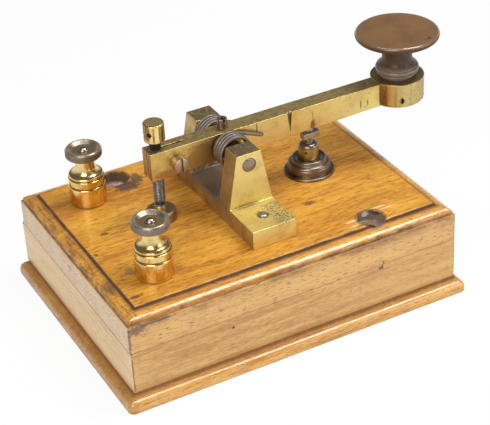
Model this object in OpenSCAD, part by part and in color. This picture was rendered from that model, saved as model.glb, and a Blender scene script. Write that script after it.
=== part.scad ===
// Straight telegraph key on a moulded wooden box, all lengths in millimetres.
// +X runs along the lever towards the knob, +Y to the back, +Z up.
// The origin is the middle of the box's underside.

/* [Box] */
// Length of the box body
base_l = 150; // [130:1:180]
// Width of the box body
base_w = 110; // [104:1:130]
// Thickness of the moulded top board
board_t = 16.5; // [14:0.5:20]
// Height of the four rails under the top board
rail_h = 19; // [16:0.5:30]
// Thickness of the rails
rail_t = 8; // [7:0.5:9]
// Thickness of the plinth board
plinth_t = 7; // [6:0.5:10]
// How far the back of the box stands out past the top board
board_short = 1.6; // [0:0.1:2]
// How far the plinth stands out past the body
plinth_out = 4; // [3:0.5:8]
// Radius of the plinth's corners
plinth_corner = 2.5; // [1:0.5:4]
// Width of the moulding round the top board
moulding_w = 6.2; // [5:0.1:8]
// Drop of the moulding below the flat top
moulding_h = 4.5; // [4:0.1:7]
// Drop of the quirk between the flat top and the moulding
quirk_h = 1.3; // [0.6:0.1:1.6]
// Height and depth of the small step under the moulding
moulding_step = 0.8; // [0.4:0.1:1.2]

/* [Box fixings] */
// Mean distance of the two bench screw holes from the ends of the box
fixing_inset_x = 37; // [33:0.5:40]
// Mean distance of the two bench screw holes from the long sides of the box
fixing_inset_y = 12; // [11:0.5:15]
// Shift of the pair of holes along the box
fixing_shift_x = 2.5; // [0:0.5:4]
// Shift of the pair of holes across the box
fixing_shift_y = -1; // [-2:0.5:1]
// Diameter of the bench screw holes
fixing_hole_d = 4.2; // [3:0.1:5]
// Diameter of the sinking round each bench screw hole
fixing_sink_d = 11.6; // [9:0.2:13]
// Depth of that sinking
fixing_sink_depth = 5; // [3:0.2:8]
// Distance of the box screws from the ends of the box
box_screw_inset = 19; // [17:0.5:25]
// Diameter of the box screws
box_screw_d = 3.6; // [3:0.1:4]
// Diameter of the box screw heads
box_screw_head_d = 7; // [6:0.1:8]
// How far the box screws bite into the top board
box_screw_bite = 10; // [6:0.5:11]

/* [Yoke] */
// Place of the pivot along the box
yoke_x = -1.7; // [-6:0.1:4]
// Place of the lever's centre line across the box
lever_y = 2.5; // [-3:0.5:4]
// Length of the yoke's foot along the lever
yoke_w = 20; // [19.5:0.5:26]
// Thickness of the yoke's foot
yoke_foot_t = 8.3; // [6:0.1:10]
// How far the foot runs out past each upright
yoke_foot_out = 19.5; // [16:0.5:20]
// Thickness of each upright
upright_t = 9.5; // [8:0.5:11]
// Clear gap between the uprights
upright_gap = 26; // [25:0.5:28]
// Length of each upright at the top
upright_top_w = 11; // [10:0.5:14]
// Height of the uprights above the board
upright_h = 32; // [31.5:0.5:36]
// Height of the pivot above the board
pivot_h = 26.8; // [25:0.2:27.5]
// Diameter of the pivot axle
axle_d = 5.8; // [4:0.1:6.4]
// Outer diameter of the pivot bush in the lever
bush_d = 9.2; // [8:0.1:9.6]
// Diameter of the lock screw over the pivot
lock_d = 3; // [2.4:0.1:3.6]
// Diameter of the lock screw's head
lock_head_d = 4.4; // [4:0.1:5.5]
// Height of the lock screw's head
lock_head_h = 4.8; // [3:0.1:6]
// Diameter of the studs that hold the yoke down
foot_stud_d = 4.4; // [4:0.1:6]

/* [Springs] */
// Diameter of the spring wire
wire_d = 1.3; // [1:0.05:1.4]
// Mean diameter of the spring coils
spring_d = 13.8; // [12.6:0.1:14.2]
// Least clear gap between two coils
coil_space = 0.43; // [0.42:0.01:0.6]
// Gap between the lever and the nearest coil
spring_side_gap = 0.85; // [0.5:0.05:1.2]
// Angle at which the arm leaves the coil
arm_angle = 67; // [55:1:75]
// Length of the arm that bears on the lever
arm_l = 14.2; // [12:0.1:18]

/* [Lever] */
// Thickness of the lever
lever_t = 8; // [7:0.5:9]
// Length of the lever behind the pivot
lever_rear = 34.8; // [34:0.2:40]
// Distance from the pivot to the knob's axis
knob_reach = 85.2; // [75:0.2:95]
// Height of the lever at its rear end
lever_rear_h = 12.6; // [12:0.1:14]
// Height of the lever beside the knob
lever_front_h = 10.4; // [9:0.1:11.5]
// Height of the lever's top above the pivot
lever_rise = 6.4; // [6:0.1:7.4]
// Diameter of the round boss under the knob
boss_d = 23.4; // [20:0.2:28]
// Height of the boss above the lever's top
boss_rise = 0.6; // [0.3:0.1:2]
// Depth of the boss below the lever
boss_drop = 0.2; // [0.2:0.1:2]
// Chamfer round the boss's lower edge
boss_chamfer = 0.8; // [0.4:0.1:1.5]
// Width of the saw cut in the rear end
slit_w = 0.9; // [0.6:0.1:1.4]
// Length of the saw cut
slit_l = 16.6; // [14:0.2:18]

/* [Knob] */
// Diameter of the knob
knob_d = 36.2; // [30:0.2:42]
// Height of the knob above the boss
knob_h = 20.7; // [19:0.1:26]
// Thickness of the knob's round rim
knob_rim = 2.9; // [2.4:0.1:4]
// Diameter of the knob's neck
knob_neck_d = 13; // [11:0.1:15]
// Diameter of the bead above the knob's foot
knob_bead_d = 18.8; // [17:0.1:20]
// Diameter of the knob screw
knob_screw_d = 5; // [4:0.1:6]
// Diameter of the knob screw's head
knob_screw_head_d = 9; // [8:0.1:11]
// Turn of the set screw round the boss, from the front
set_screw_turn = -22; // [-60:1:60]
// Diameter of the set screw
set_screw_d = 2.4; // [1.6:0.1:3]

/* [Adjusting screw] */
// Distance from the pivot back to the adjusting screw
adjust_back = 30.6; // [29:0.2:31.4]
// Diameter of the adjusting screw
adjust_d = 5; // [4:0.1:6]
// Diameter of its capstan head
adjust_head_d = 8.8; // [8:0.1:11]
// Height of its capstan head
adjust_head_h = 8.5; // [7:0.1:10]
// Length of bare screw between the lever and the head
adjust_show = 3.8; // [2:0.1:6]
// Height of the tommy hole above the head's underside
tommy_h = 4.6; // [3:0.1:5]
// Diameter of the tommy hole through the head
tommy_d = 1.9; // [1.5:0.1:3]
// Turn of the tommy hole round the screw
tommy_turn = 40; // [0:1:90]
// Diameter of the clamp screw
clamp_d = 3.6; // [3:0.1:4]
// Diameter of the clamp screw's head
clamp_head_d = 6.6; // [5.5:0.1:7.4]
// Height of the clamp screw's head
clamp_head_h = 4.8; // [3:0.1:6]
// Distance from the pivot back to the clamp screw
clamp_back = 23.2; // [22.6:0.1:23.6]

/* [Contacts] */
// Distance from the pivot forward to the front contact
anvil_reach = 40.3; // [36:0.1:46]
// Clear gap between the front contacts with the key at rest
contact_gap = 1.4; // [1.2:0.1:2]
// How far the lever's contact stands out below the lever
lever_contact_h = 2; // [1.2:0.1:3]
// Diameter of the lever's contact
lever_contact_d = 4.4; // [3:0.1:5]
// Diameter of the front contact's base
anvil_base_d = 22; // [20:0.2:26]
// Height of the front contact's base
anvil_base_h = 7.2; // [6.4:0.1:8]
// Diameter of the front contact's brass dome
anvil_dome_d = 8.8; // [7:0.1:9.4]
// Height of the brass dome
anvil_dome_h = 7.6; // [6:0.1:8.4]
// Diameter of the neck above the dome
anvil_neck_d = 4.2; // [3:0.1:5]
// Length of the contact bar
anvil_bar_l = 8.2; // [7:0.1:12]
// Shift of the contact bar towards the knob
anvil_bar_shift = 1; // [0:0.1:1.6]
// Width of the contact bar
anvil_bar_w = 3.4; // [2.5:0.1:4]
// Height of the contact bar
anvil_bar_h = 2.7; // [2:0.1:3]
// Diameter of the back contact's base
rest_base_d = 12.8; // [11:0.1:16]
// Height of the back contact's base
rest_base_h = 4.8; // [3:0.1:5.2]
// Diameter of the back contact's post
rest_post_d = 5.5; // [5:0.1:6.5]
// Height of the back contact's post above its base
rest_post_h = 2; // [1:0.1:3]
// Thickness of the back contact's hard tip
rest_tip_h = 0.7; // [0.4:0.1:1]

/* [Terminals] */
// Distance of the terminals from the left end of the box
terminal_inset = 22.9; // [20:0.1:25]
// Distance of the terminals from the long sides of the box
terminal_side = 22.65; // [20:0.05:24]
// Diameter of the terminal studs
stud_d = 4.4; // [4:0.1:5]
// Diameter of the terminal collars
collar_d = 15.7; // [13:0.1:18]
// Height of the terminal collars
collar_h = 9; // [6:0.1:12]
// Diameter of the clamp washers
washer_d = 15.4; // [13:0.1:18]
// Thickness of the clamp washers
washer_h = 3.4; // [2:0.1:5]
// Diameter of the thumb nuts' discs
thumb_d = 15.5; // [13:0.1:18]
// Thickness of the thumb nuts' discs
thumb_disc_h = 3.9; // [3:0.1:4.4]
// Diameter of the thumb nuts' waists
thumb_waist_d = 8.2; // [7.4:0.1:9.6]
// Height of the thumb nuts
thumb_h = 13.1; // [12.6:0.1:15]
// Depth of the dish in the thumb nuts' tops
thumb_dish = 1.2; // [0.6:0.1:1.6]
// How far the studs stand out of the dishes
stud_tip_h = 1.5; // [1:0.1:5]

/* [Inside the box] */
// Width across the corners of the nuts
nut_d = 9.6; // [9:0.1:11]
// Thickness of the nuts
nut_t = 3.2; // [2.4:0.1:4]
// How far each stud stands out of its nut
stud_out = 1.2; // [0.6:0.1:2]
// Width of the brass straps
strap_w = 6; // [4:0.5:7]
// Thickness of the brass straps
strap_t = 0.9; // [0.6:0.1:1.5]
// Diameter of the straps' eyes
strap_eye_d = 10; // [9.4:0.2:12]

/* [Fits] */
// Radial clearance of a shaft that turns in its hole
running_gap = 0.05; // [0.02:0.01:0.1]
// Radial clearance of a piece that is fixed in its hole
seat_gap = 0.03; // [0.01:0.01:0.05]
// Gap between two flat faces of which one moves away
face_gap = 0.03; // [0.01:0.01:0.05]
// Gap at each end of the pivot bush
bush_end_gap = 0.15; // [0.1:0.05:0.3]
// Radial clearance round a spring end in its hole
hook_gap = 0.15; // [0.1:0.05:0.3]

/* [Hidden] */
$fn = 96;
e = 0.01;
// How far a cut starts outside the face that it opens
cut_over = 1;

// Levels of the box
rail_z = plinth_t;
board_z = rail_z + rail_h;
top_z = board_z + board_t;

// Places of the sub-assemblies
pivot = [yoke_x, lever_y, top_z + pivot_h];
fixing_mid = [fixing_shift_x, fixing_shift_y];
fixing_half = [base_l / 2 - fixing_inset_x, fixing_inset_y - base_w / 2];
fixings = [for (s = [-1, 1]) fixing_mid + s * fixing_half];
frame_w = base_w + board_short;
frame_y = board_short / 2;
box_screw_x = base_l / 2 - box_screw_inset;
box_screw_y = (base_w - rail_t) / 2;
box_screws_at = [for (x = [-1, 1], y = [-1, 1]) [x * box_screw_x, frame_y + y * box_screw_y]];
anvil_at = [pivot.x + anvil_reach, lever_y];
rest_at = [pivot.x - adjust_back, lever_y];
terminal_x = terminal_inset - base_l / 2;
terminal_y = base_w / 2 - terminal_side;
front_terminal_at = [terminal_x, -terminal_y];
back_terminal_at = [terminal_x, terminal_y];

// Yoke
upright_out = upright_gap / 2 + upright_t;
foot_stud_y = upright_out + yoke_foot_out / 2;
foot_stud_tip = 0.9;
front_foot_stud_at = [yoke_x, lever_y - foot_stud_y];
back_foot_stud_at = [yoke_x, lever_y + foot_stud_y];
axle_tip = 0.8;
axle_l = 2 * upright_out;

// Springs
wire_r = wire_d / 2;
spring_r = spring_d / 2;
wire_bend = wire_d;
coil_start = lever_t / 2 + spring_side_gap + wire_r;
coil_end = upright_gap / 2 - wire_bend;
coil_length = coil_end - coil_start;
last_part_turn = (270 - arm_angle) / 360;
whole_turns = floor(coil_length / (wire_d + coil_space) - last_part_turn);
coil_turns = whole_turns + last_part_turn;
coil_pitch = coil_length / coil_turns;
rings_per_turn = 8;
tube_sides = 6;
bend_steps = 3;
hook_reach = wire_d;
arm_end = [
    spring_r * cos(arm_angle) + arm_l * sin(arm_angle),
    spring_r * sin(arm_angle) - arm_l * cos(arm_angle)
];
hook_depth = hook_reach + wire_bend - spring_side_gap - wire_r + hook_gap;
leg_at = [wire_bend, -spring_r];
leg_depth = hook_reach + hook_gap;

// Lever
boss_bottom = lever_rise - lever_front_h - boss_drop;
taper_end = knob_reach - boss_d / 2;
clamp_z = lever_rise - lever_rear_h / 2;
groove_x = 29.6;
groove_w = 2.2;
groove_depth = 0.7;
groove_h = 9;
knob_screw_grip = 9;
knob_screw_head_h = 2.2;
set_screw_l = 4;
set_screw_drop = 7.6;
set_screw_z = lever_rise + boss_rise - set_screw_drop;
set_screw_sink = 0.3;
clamp_share = 0.8;
clamp_shank = lever_t * clamp_share;
clamp_room = 1;
clamp_slot_w = 0.9;
clamp_slot_depth = 1.2;

// Underside of the lever at a distance from the pivot
function lever_under(x) =
    lever_rise - lever_rear_h + (lever_rear_h - lever_front_h) * (x + lever_rear) / (taper_end + lever_rear);

// Contacts, as heights above the board
lever_contact_z = pivot_h + lever_under(anvil_reach) - lever_contact_h;
lever_contact_shank_d = 2.6;
lever_contact_shank_l = 5;
lever_contact_seat = lever_under(anvil_reach) + lever_contact_shank_l;
anvil_top = lever_contact_z - contact_gap;
anvil_neck_top = anvil_top - anvil_bar_h;
anvil_stud_d = 4;
rest_tip_z = rest_base_h + rest_post_h;
rest_top = rest_tip_z + rest_tip_h;
rest_stud_d = 4;
pip_h = 1.5;
pip_share = 0.64;
pip_d = adjust_d * pip_share;
adjust_under = rest_top + face_gap;
adjust_head_z = pivot_h + lever_rise + adjust_show;

// Terminals, as heights above the board
washer_z = collar_h + face_gap;
thumb_z = washer_z + washer_h + face_gap;
stud_top = thumb_z + thumb_h - thumb_dish;
edge_chamfer = 0.5;

// Depths below the board's underside
strap_nut = -strap_t - nut_t;
bare_nut = -nut_t;

// Colours
honey = [0.76, 0.5, 0.2];
pale_honey = [0.82, 0.6, 0.3];
brass = [0.78, 0.62, 0.25];
old_brass = [0.62, 0.5, 0.22];
dark_brass = [0.36, 0.32, 0.26];
dark_steel = [0.34, 0.32, 0.31];
silver = [0.72, 0.72, 0.7];
brown = [0.4, 0.25, 0.14];

// Points on a quarter of an ellipse, from angle a0 to a1
function arc(centre, rx, ry, a0, a1, steps = 8) =
    [for (i = [0:steps]) let (a = a0 + (a1 - a0) * i / steps) centre + [rx * cos(a), ry * sin(a)]];

// A list of points with its mirror image across the second axis, as one closed outline
function both_halves(half) = concat(half, [for (i = [len(half) - 1:-1:0]) [-half[i].x, half[i].y]]);

// A solid turned from an outline of radius and height
module turned(outline) {
    rotate_extrude() polygon(outline);
}

// A hole along Z, open at both ends
module hole(d, z0, z1) {
    translate([0, 0, z0 - e]) cylinder(d = d, h = z1 - z0 + 2 * e);
}

// A rod along Z with a low dome on its upper end
module domed_rod(d, z0, z1, dome) {
    turned(concat([[0, z0]], [[d / 2, z0]], arc([0, z1 - dome], d / 2, dome, 0, 90)));
}

// A hexagonal nut along Z with its hole
module hex_nut(bore_d) {
    difference() {
        cylinder(d = nut_d, h = nut_t, $fn = 6);
        hole(bore_d, 0, nut_t);
    }
}

// A slab whose four edges have one moulded outline, met at the corners
module moulded_slab(l, w, long_outline, short_outline) {
    intersection() {
        rotate([90, 0, 90]) linear_extrude(l, center = true) polygon(short_outline);
        rotate([90, 0, 0]) linear_extrude(w, center = true) polygon(long_outline);
    }
}

// Outline of a rectangle with round corners, about its middle
function round_rect(l, w, r) = concat(
    arc([l / 2 - r, w / 2 - r], r, r, 0, 90, 5),
    arc([r - l / 2, w / 2 - r], r, r, 90, 180, 5),
    arc([r - l / 2, r - w / 2], r, r, 180, 270, 5),
    arc([l / 2 - r, r - w / 2], r, r, 270, 360, 5)
);

// Half the outline of the top board, for half its length or width
function board_half(h) = concat(
    [[h, 0], [h, board_t - moulding_h], [h - moulding_step, board_t - moulding_h]],
    arc([h - moulding_w, board_t - moulding_h + moulding_step],
        moulding_w - moulding_step, moulding_h - moulding_step - quirk_h, 0, 90),
    [[h - moulding_w, board_t]]
);

// Half the outline of the plinth board, with a round nose under a cove
plinth_edge_r = 0.6;
nose_in = 1;
nose_w = plinth_out - nose_in;
nose_h = 3.2;
nose_turn = 74;
cove_in = 1.6;
cove_w = plinth_out - cove_in;
cove_h = 1.8;
cove_turn = [-105, -176];
cove_gap = 0.1;
nose_z = plinth_t - cove_h - cove_gap - nose_h;
function plinth_half(h) = concat(
    arc([h - plinth_edge_r, plinth_edge_r], plinth_edge_r, plinth_edge_r, -90, 0, 4),
    arc([h - nose_w, nose_z], nose_w, nose_h, 0, nose_turn),
    arc([h - cove_in, plinth_t], cove_w, cove_h, cove_turn[0], cove_turn[1]),
    [[h - plinth_out, plinth_t]]
);

module top_board() {
    color(honey) translate([0, 0, board_z]) difference() {
        moulded_slab(
            base_l, base_w, both_halves(board_half(base_l / 2)), both_halves(board_half(base_w / 2))
        );
        for (p = fixings) translate(p) {
            hole(fixing_hole_d, 0, board_t);
            hole(fixing_sink_d, board_t - fixing_sink_depth, board_t);
        }
        for (p = box_screws_at) translate(p) hole(box_screw_d + 2 * seat_gap, 0, box_screw_bite);
        for (p = [front_terminal_at, back_terminal_at]) translate(p) hole(stud_d + 2 * seat_gap, 0, board_t);
        for (p = [front_foot_stud_at, back_foot_stud_at]) {
            translate(p) hole(foot_stud_d + 2 * seat_gap, 0, board_t);
        }
        translate(anvil_at) hole(anvil_stud_d + 2 * seat_gap, 0, board_t);
        translate(rest_at) hole(rest_stud_d + 2 * seat_gap, 0, board_t);
    }
}

// A rail along X with mitred ends, its outer face on -Y
module rail(length, drilled) {
    difference() {
        translate([0, 0, rail_z]) linear_extrude(rail_h) polygon([
            [-length / 2, 0], [length / 2, 0], [length / 2 - rail_t, rail_t], [rail_t - length / 2, rail_t]
        ]);
        if (drilled) for (s = [-1, 1]) {
            translate([s * box_screw_x, frame_w / 2 - box_screw_y]) {
                hole(box_screw_d + 2 * seat_gap, rail_z, board_z);
            }
        }
    }
}

module front_rail() {
    color(pale_honey) translate([0, frame_y - frame_w / 2]) rail(base_l, true);
}

module back_rail() {
    color(pale_honey) translate([0, frame_y + frame_w / 2]) rotate(180) rail(base_l, true);
}

module left_rail() {
    color(pale_honey) translate([-base_l / 2, frame_y]) rotate(-90) rail(frame_w, false);
}

module right_rail() {
    color(pale_honey) translate([base_l / 2, frame_y]) rotate(90) rail(frame_w, false);
}

// A box screw from a height above the underside, grown by a gap: rim, cone, shank and point
screw_sink = 0.4;
screw_rim = 0.3;
screw_point = 3;
screw_slot_w = 1;
screw_slot_depth = 1;

module box_screw(foot, length, gap) {
    head_r = box_screw_head_d / 2 + gap;
    r = box_screw_d / 2 + gap;
    cone_z = screw_sink + screw_rim;
    turned([
        [0, foot], [head_r, foot], [head_r, cone_z], [r, cone_z + head_r - r],
        [r, length - screw_point], [0, length]
    ]);
}

module plinth_board() {
    l = base_l + 2 * plinth_out;
    w = base_w + 2 * plinth_out;
    color(honey) difference() {
        intersection() {
            moulded_slab(l, w, both_halves(plinth_half(l / 2)), both_halves(plinth_half(w / 2)));
            linear_extrude(plinth_t) polygon(round_rect(l, w, plinth_corner));
        }
        for (p = fixings) translate(p) hole(fixing_hole_d, 0, plinth_t);
        for (p = box_screws_at) translate(p) box_screw(-e, plinth_t + 2 * screw_point, seat_gap);
    }
}

module box_screws() {
    color(dark_steel) for (p = box_screws_at) translate(p) difference() {
        box_screw(screw_sink, board_z + box_screw_bite, 0);
        translate([-box_screw_head_d, -screw_slot_w / 2, 0]) {
            cube([2 * box_screw_head_d, screw_slot_w, screw_sink + screw_slot_depth]);
        }
    }
}

module yoke() {
    foot_l = 2 * (upright_out + yoke_foot_out);
    color(old_brass) translate([pivot.x, pivot.y, top_z]) difference() {
        union() {
            translate([-yoke_w / 2, -foot_l / 2, 0]) cube([yoke_w, foot_l, yoke_foot_t]);
            for (s = [-1, 1]) translate([0, s * (upright_gap + upright_t) / 2, 0]) rotate([90, 0, 0]) {
                linear_extrude(upright_t, center = true) polygon([
                    [-yoke_w / 2, 0], [yoke_w / 2, 0], [yoke_w / 2, yoke_foot_t],
                    [upright_top_w / 2, upright_h], [-upright_top_w / 2, upright_h],
                    [-yoke_w / 2, yoke_foot_t]
                ]);
            }
        }
        translate([0, 0, pivot_h]) rotate([90, 0, 0]) {
            hole(axle_d + 2 * running_gap, -upright_out, upright_out);
        }
        for (s = [-1, 1]) {
            translate([0, s * foot_stud_y, 0]) hole(foot_stud_d + 2 * seat_gap, 0, yoke_foot_t);
            translate([leg_at.x, s * upright_gap / 2, pivot_h + leg_at.y]) rotate([-90 * s, 0, 0]) {
                hole(wire_d + 2 * hook_gap, -cut_over, leg_depth - e);
            }
        }
    }
}

module pivot_axle() {
    color(dark_steel) translate(pivot) rotate([90, 0, 0]) turned(concat(
        arc([0, -axle_l / 2], axle_d / 2, axle_tip, -90, 0),
        arc([0, axle_l / 2], axle_d / 2, axle_tip, 0, 90)
    ));
}

module foot_studs() {
    tip_z = top_z + yoke_foot_t + foot_stud_tip;
    color(silver) {
        for (p = [[front_foot_stud_at, bare_nut], [back_foot_stud_at, strap_nut]]) translate(p[0]) {
            domed_rod(foot_stud_d, board_z + p[1] - stud_out, tip_z, foot_stud_tip);
        }
    }
}

module foot_nuts() {
    color(brass) {
        for (p = [[front_foot_stud_at, bare_nut], [back_foot_stud_at, strap_nut]]) {
            translate([p[0].x, p[0].y, board_z + p[1]]) hex_nut(foot_stud_d + 2 * seat_gap);
        }
    }
}

// One ring station of the spring wire: place, direction of travel and a normal
function at_coil(a, y) = [
    [spring_r * cos(a), y, spring_r * sin(a)],
    [-spring_r * sin(a), -coil_pitch / (2 * PI), spring_r * cos(a)],
    [cos(a), 0, sin(a)]
];

// The wire's stations: hook in the lever, arm, coils and leg in the upright
arm_dir = [-sin(arm_angle), 0, cos(arm_angle)];
arm_normal = [cos(arm_angle), 0, sin(arm_angle)];
hook_foot = [arm_end.x, -coil_start, arm_end.y];
hook_stations = [
    [hook_foot + [0, wire_bend + hook_reach, 0], [0, -1, 0], arm_normal],
    for (i = [0:bend_steps]) let (a = 90 * i / bend_steps) [
        hook_foot + wire_bend * ((1 - sin(a)) * [0, 1, 0] + (1 - cos(a)) * arm_dir),
        -cos(a) * [0, 1, 0] + sin(a) * arm_dir,
        arm_normal
    ]
];
coil_steps = ceil(coil_turns * rings_per_turn);
coil_stations = [
    for (i = [0:coil_steps]) let (t = i / coil_steps)
        at_coil(arm_angle + 360 * coil_turns * t, -coil_start - coil_length * t)
];
leg_stations = [
    for (i = [1:bend_steps]) let (a = 90 * i / bend_steps) [
        [wire_bend * sin(a), -coil_end - wire_bend * (1 - cos(a)), -spring_r],
        [cos(a), -sin(a), 0],
        [0, 0, -1]
    ],
    [[leg_at.x, -coil_end - wire_bend - hook_reach, leg_at.y], [0, -1, 0], [0, 0, -1]]
];
wire_stations = concat(hook_stations, coil_stations, leg_stations);

// Points of a round tube along the stations, ring by ring
function tube_points(stations, r) = [
    for (s = stations, k = [0:tube_sides - 1])
        let (t = s[1] / norm(s[1]), n = s[2] / norm(s[2]), b = cross(t, n), a = 360 * k / tube_sides)
            s[0] + r * (cos(a) * n + sin(a) * b)
];

// Triangles of that tube and of its two ends
function tube_faces(rings) = concat(
    [for (k = [1:tube_sides - 2]) [0, k, k + 1]],
    [for (i = [0:rings - 2], k = [0:tube_sides - 1], half = [0, 1])
        let (a = i * tube_sides + k, b = i * tube_sides + (k + 1) % tube_sides)
            half == 0 ? [a, a + tube_sides, b] : [b, a + tube_sides, b + tube_sides]],
    [for (k = [1:tube_sides - 2]) let (c = (rings - 1) * tube_sides) [c, c + k + 1, c + k]]
);

// Least clear gap between two stretches of the wire that aren't neighbours
near_rings = rings_per_turn - 2;
spring_self_gap = min([
    for (i = [0:len(wire_stations) - 1], j = [i + near_rings:1:len(wire_stations) - 1])
        norm(wire_stations[i][0] - wire_stations[j][0]) - wire_d
]);
echo(least_gap_between_coils = spring_self_gap);

// A torsion spring on the -Y side of the lever, about the pivot
module torsion_spring() {
    polyhedron(tube_points(wire_stations, wire_r), tube_faces(len(wire_stations)));
}

module front_spring() {
    color(dark_steel) translate(pivot) torsion_spring();
}

module back_spring() {
    color(dark_steel) translate(pivot) mirror([0, 1, 0]) torsion_spring();
}

module lever() {
    color(brass) translate(pivot) difference() {
        union() {
            rotate([90, 0, 0]) linear_extrude(lever_t, center = true) polygon([
                [-lever_rear, lever_rise], [-lever_rear, lever_rise - lever_rear_h],
                [taper_end, lever_rise - lever_front_h],
                [knob_reach, lever_rise - lever_front_h], [knob_reach, lever_rise]
            ]);
            translate([knob_reach, 0, 0]) turned([
                [0, boss_bottom], [boss_d / 2 - boss_chamfer, boss_bottom],
                [boss_d / 2, boss_bottom + boss_chamfer], [boss_d / 2, lever_rise + boss_rise],
                [0, lever_rise + boss_rise]
            ]);
        }
        // Hole for the pivot bush
        rotate([90, 0, 0]) hole(bush_d + 2 * seat_gap, -lever_t, lever_t);
        // Hole for the lock screw
        hole(lock_d + 2 * seat_gap, 0, lever_rise);
        // Saw cut, adjusting screw hole and clamp screw hole
        translate([-lever_rear - cut_over, -slit_w / 2, -lever_rear_h]) {
            cube([slit_l + cut_over, slit_w, 2 * lever_rear_h]);
        }
        translate([-adjust_back, 0, 0]) hole(adjust_d + 2 * running_gap, -lever_rear_h, lever_rear_h);
        translate([-clamp_back, -lever_t / 2, clamp_z]) rotate([-90, 0, 0]) {
            hole(clamp_d + 2 * running_gap, -cut_over, clamp_shank + clamp_room);
        }
        // Seat of the lever's contact
        translate([anvil_reach, 0, 0]) {
            hole(lever_contact_shank_d + 2 * seat_gap, -lever_rear_h, lever_contact_seat);
        }
        // Knob screw hole, its sunk head, and the set screw
        translate([knob_reach, 0, 0]) {
            hole(knob_screw_d + 2 * seat_gap, boss_bottom, lever_rise + boss_rise);
            hole(knob_screw_head_d + 2 * seat_gap, boss_bottom, boss_bottom + knob_screw_head_h);
            rotate(set_screw_turn) translate([0, -boss_d / 2, set_screw_z]) rotate([-90, 0, 0]) {
                hole(set_screw_d + 2 * seat_gap, -cut_over, set_screw_sink + set_screw_l + seat_gap);
            }
        }
        // Tapered groove down the front face
        translate([groove_x, -lever_t / 2 + groove_depth, lever_rise + e]) rotate([90, 0, 0]) {
            linear_extrude(groove_depth + cut_over) {
                polygon([[-groove_w / 2, 0], [groove_w / 2, 0], [0, -groove_h]]);
            }
        }
        // Holes for the ends of the two springs
        for (s = [-1, 1]) translate([arm_end.x, s * lever_t / 2, arm_end.y]) rotate([90 * s, 0, 0]) {
            hole(wire_d + 2 * hook_gap, -cut_over, hook_depth - e);
        }
    }
}

module pivot_bush() {
    l = upright_gap - 2 * bush_end_gap;
    color(brass) translate(pivot) difference() {
        rotate([90, 0, 0]) cylinder(d = bush_d, h = l, center = true);
        rotate([90, 0, 0]) hole(axle_d + 2 * seat_gap, -l / 2, l / 2);
        hole(lock_d + 2 * seat_gap, 0, bush_d);
    }
}

module lock_screw() {
    slot_w = 0.9;
    slot_depth = 1.1;
    tip = axle_d / 2 + seat_gap;
    color(dark_steel) translate(pivot) difference() {
        union() {
            translate([0, 0, tip]) cylinder(d = lock_d, h = lever_rise + lock_head_h / 2 - tip);
            translate([0, 0, lever_rise]) cylinder(d = lock_head_d, h = lock_head_h);
        }
        translate([-slot_w / 2, -lock_head_d, lever_rise + lock_head_h - slot_depth]) {
            cube([slot_w, 2 * lock_head_d, 2 * slot_depth]);
        }
    }
}

// Outline of the knob above the boss: foot, bead, cove, flare, round rim and low crown
knob_foot_in = 1.5;
knob_foot_r = knob_bead_d / 2 - knob_foot_in;
knob_foot_bevel = 0.4;
knob_foot_h = 1.2;
knob_quirk = [0.5, 0.3];
knob_bead_z = 3.1;
knob_bead_half = 1.4;
knob_bead_arc = [-80, 75];
knob_bead_centre = knob_foot_r + knob_foot_bevel;
knob_cove_z = 8.6;
knob_cove_drop = 3.6;
knob_cove_arc = [255, 180];
knob_neck_h = 2;
knob_flare_in = 1.6;
knob_flare_r = knob_d / 2 - knob_flare_in;
knob_crown = 0.3;
knob_under_z = knob_h - knob_crown - knob_rim;
knob_flare_z = knob_cove_z + knob_neck_h;
knob_rim_arc = 80;
knob_screw_top = knob_screw_grip - 1;
knob_outline = concat(
    [[0, 0], [knob_foot_r - knob_foot_bevel, 0], [knob_foot_r, knob_foot_bevel], [knob_foot_r, knob_foot_h]],
    [[knob_foot_r + knob_quirk.x, knob_foot_h + knob_quirk.y]],
    arc([knob_bead_centre, knob_bead_z], knob_bead_d / 2 - knob_bead_centre, knob_bead_half,
        knob_bead_arc[0], knob_bead_arc[1], 6),
    arc([knob_bead_d / 2, knob_cove_z], (knob_bead_d - knob_neck_d) / 2, knob_cove_drop,
        knob_cove_arc[0], knob_cove_arc[1], 6),
    arc([knob_flare_r, knob_flare_z], knob_flare_r - knob_neck_d / 2, knob_under_z - knob_flare_z, 180, 90),
    arc([(knob_d - knob_rim) / 2, knob_under_z + knob_rim / 2], knob_rim / 2, knob_rim / 2,
        -knob_rim_arc, knob_rim_arc),
    [[knob_d / 4, knob_h - knob_crown / 4], [0, knob_h]]
);

module knob() {
    color(brown) translate(pivot + [knob_reach, 0, lever_rise + boss_rise]) difference() {
        turned(knob_outline);
        hole(knob_screw_d + 2 * seat_gap, 0, knob_screw_grip);
    }
}

module knob_screw() {
    shank_top = lever_rise + boss_rise + knob_screw_top - boss_bottom;
    slot_w = 1.2;
    slot_depth = 1;
    color(dark_steel) translate(pivot + [knob_reach, 0, boss_bottom]) difference() {
        union() {
            cylinder(d = knob_screw_head_d, h = knob_screw_head_h - seat_gap);
            cylinder(d = knob_screw_d, h = shank_top);
        }
        translate([-knob_screw_head_d, -slot_w / 2, -cut_over]) {
            cube([2 * knob_screw_head_d, slot_w, cut_over + slot_depth]);
        }
    }
}

module set_screw() {
    color(dark_steel) translate(pivot + [knob_reach, 0, set_screw_z]) rotate(set_screw_turn) {
        translate([0, -boss_d / 2 + set_screw_sink, 0]) rotate([-90, 0, 0]) {
            cylinder(d = set_screw_d, h = set_screw_l);
        }
    }
}

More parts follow.
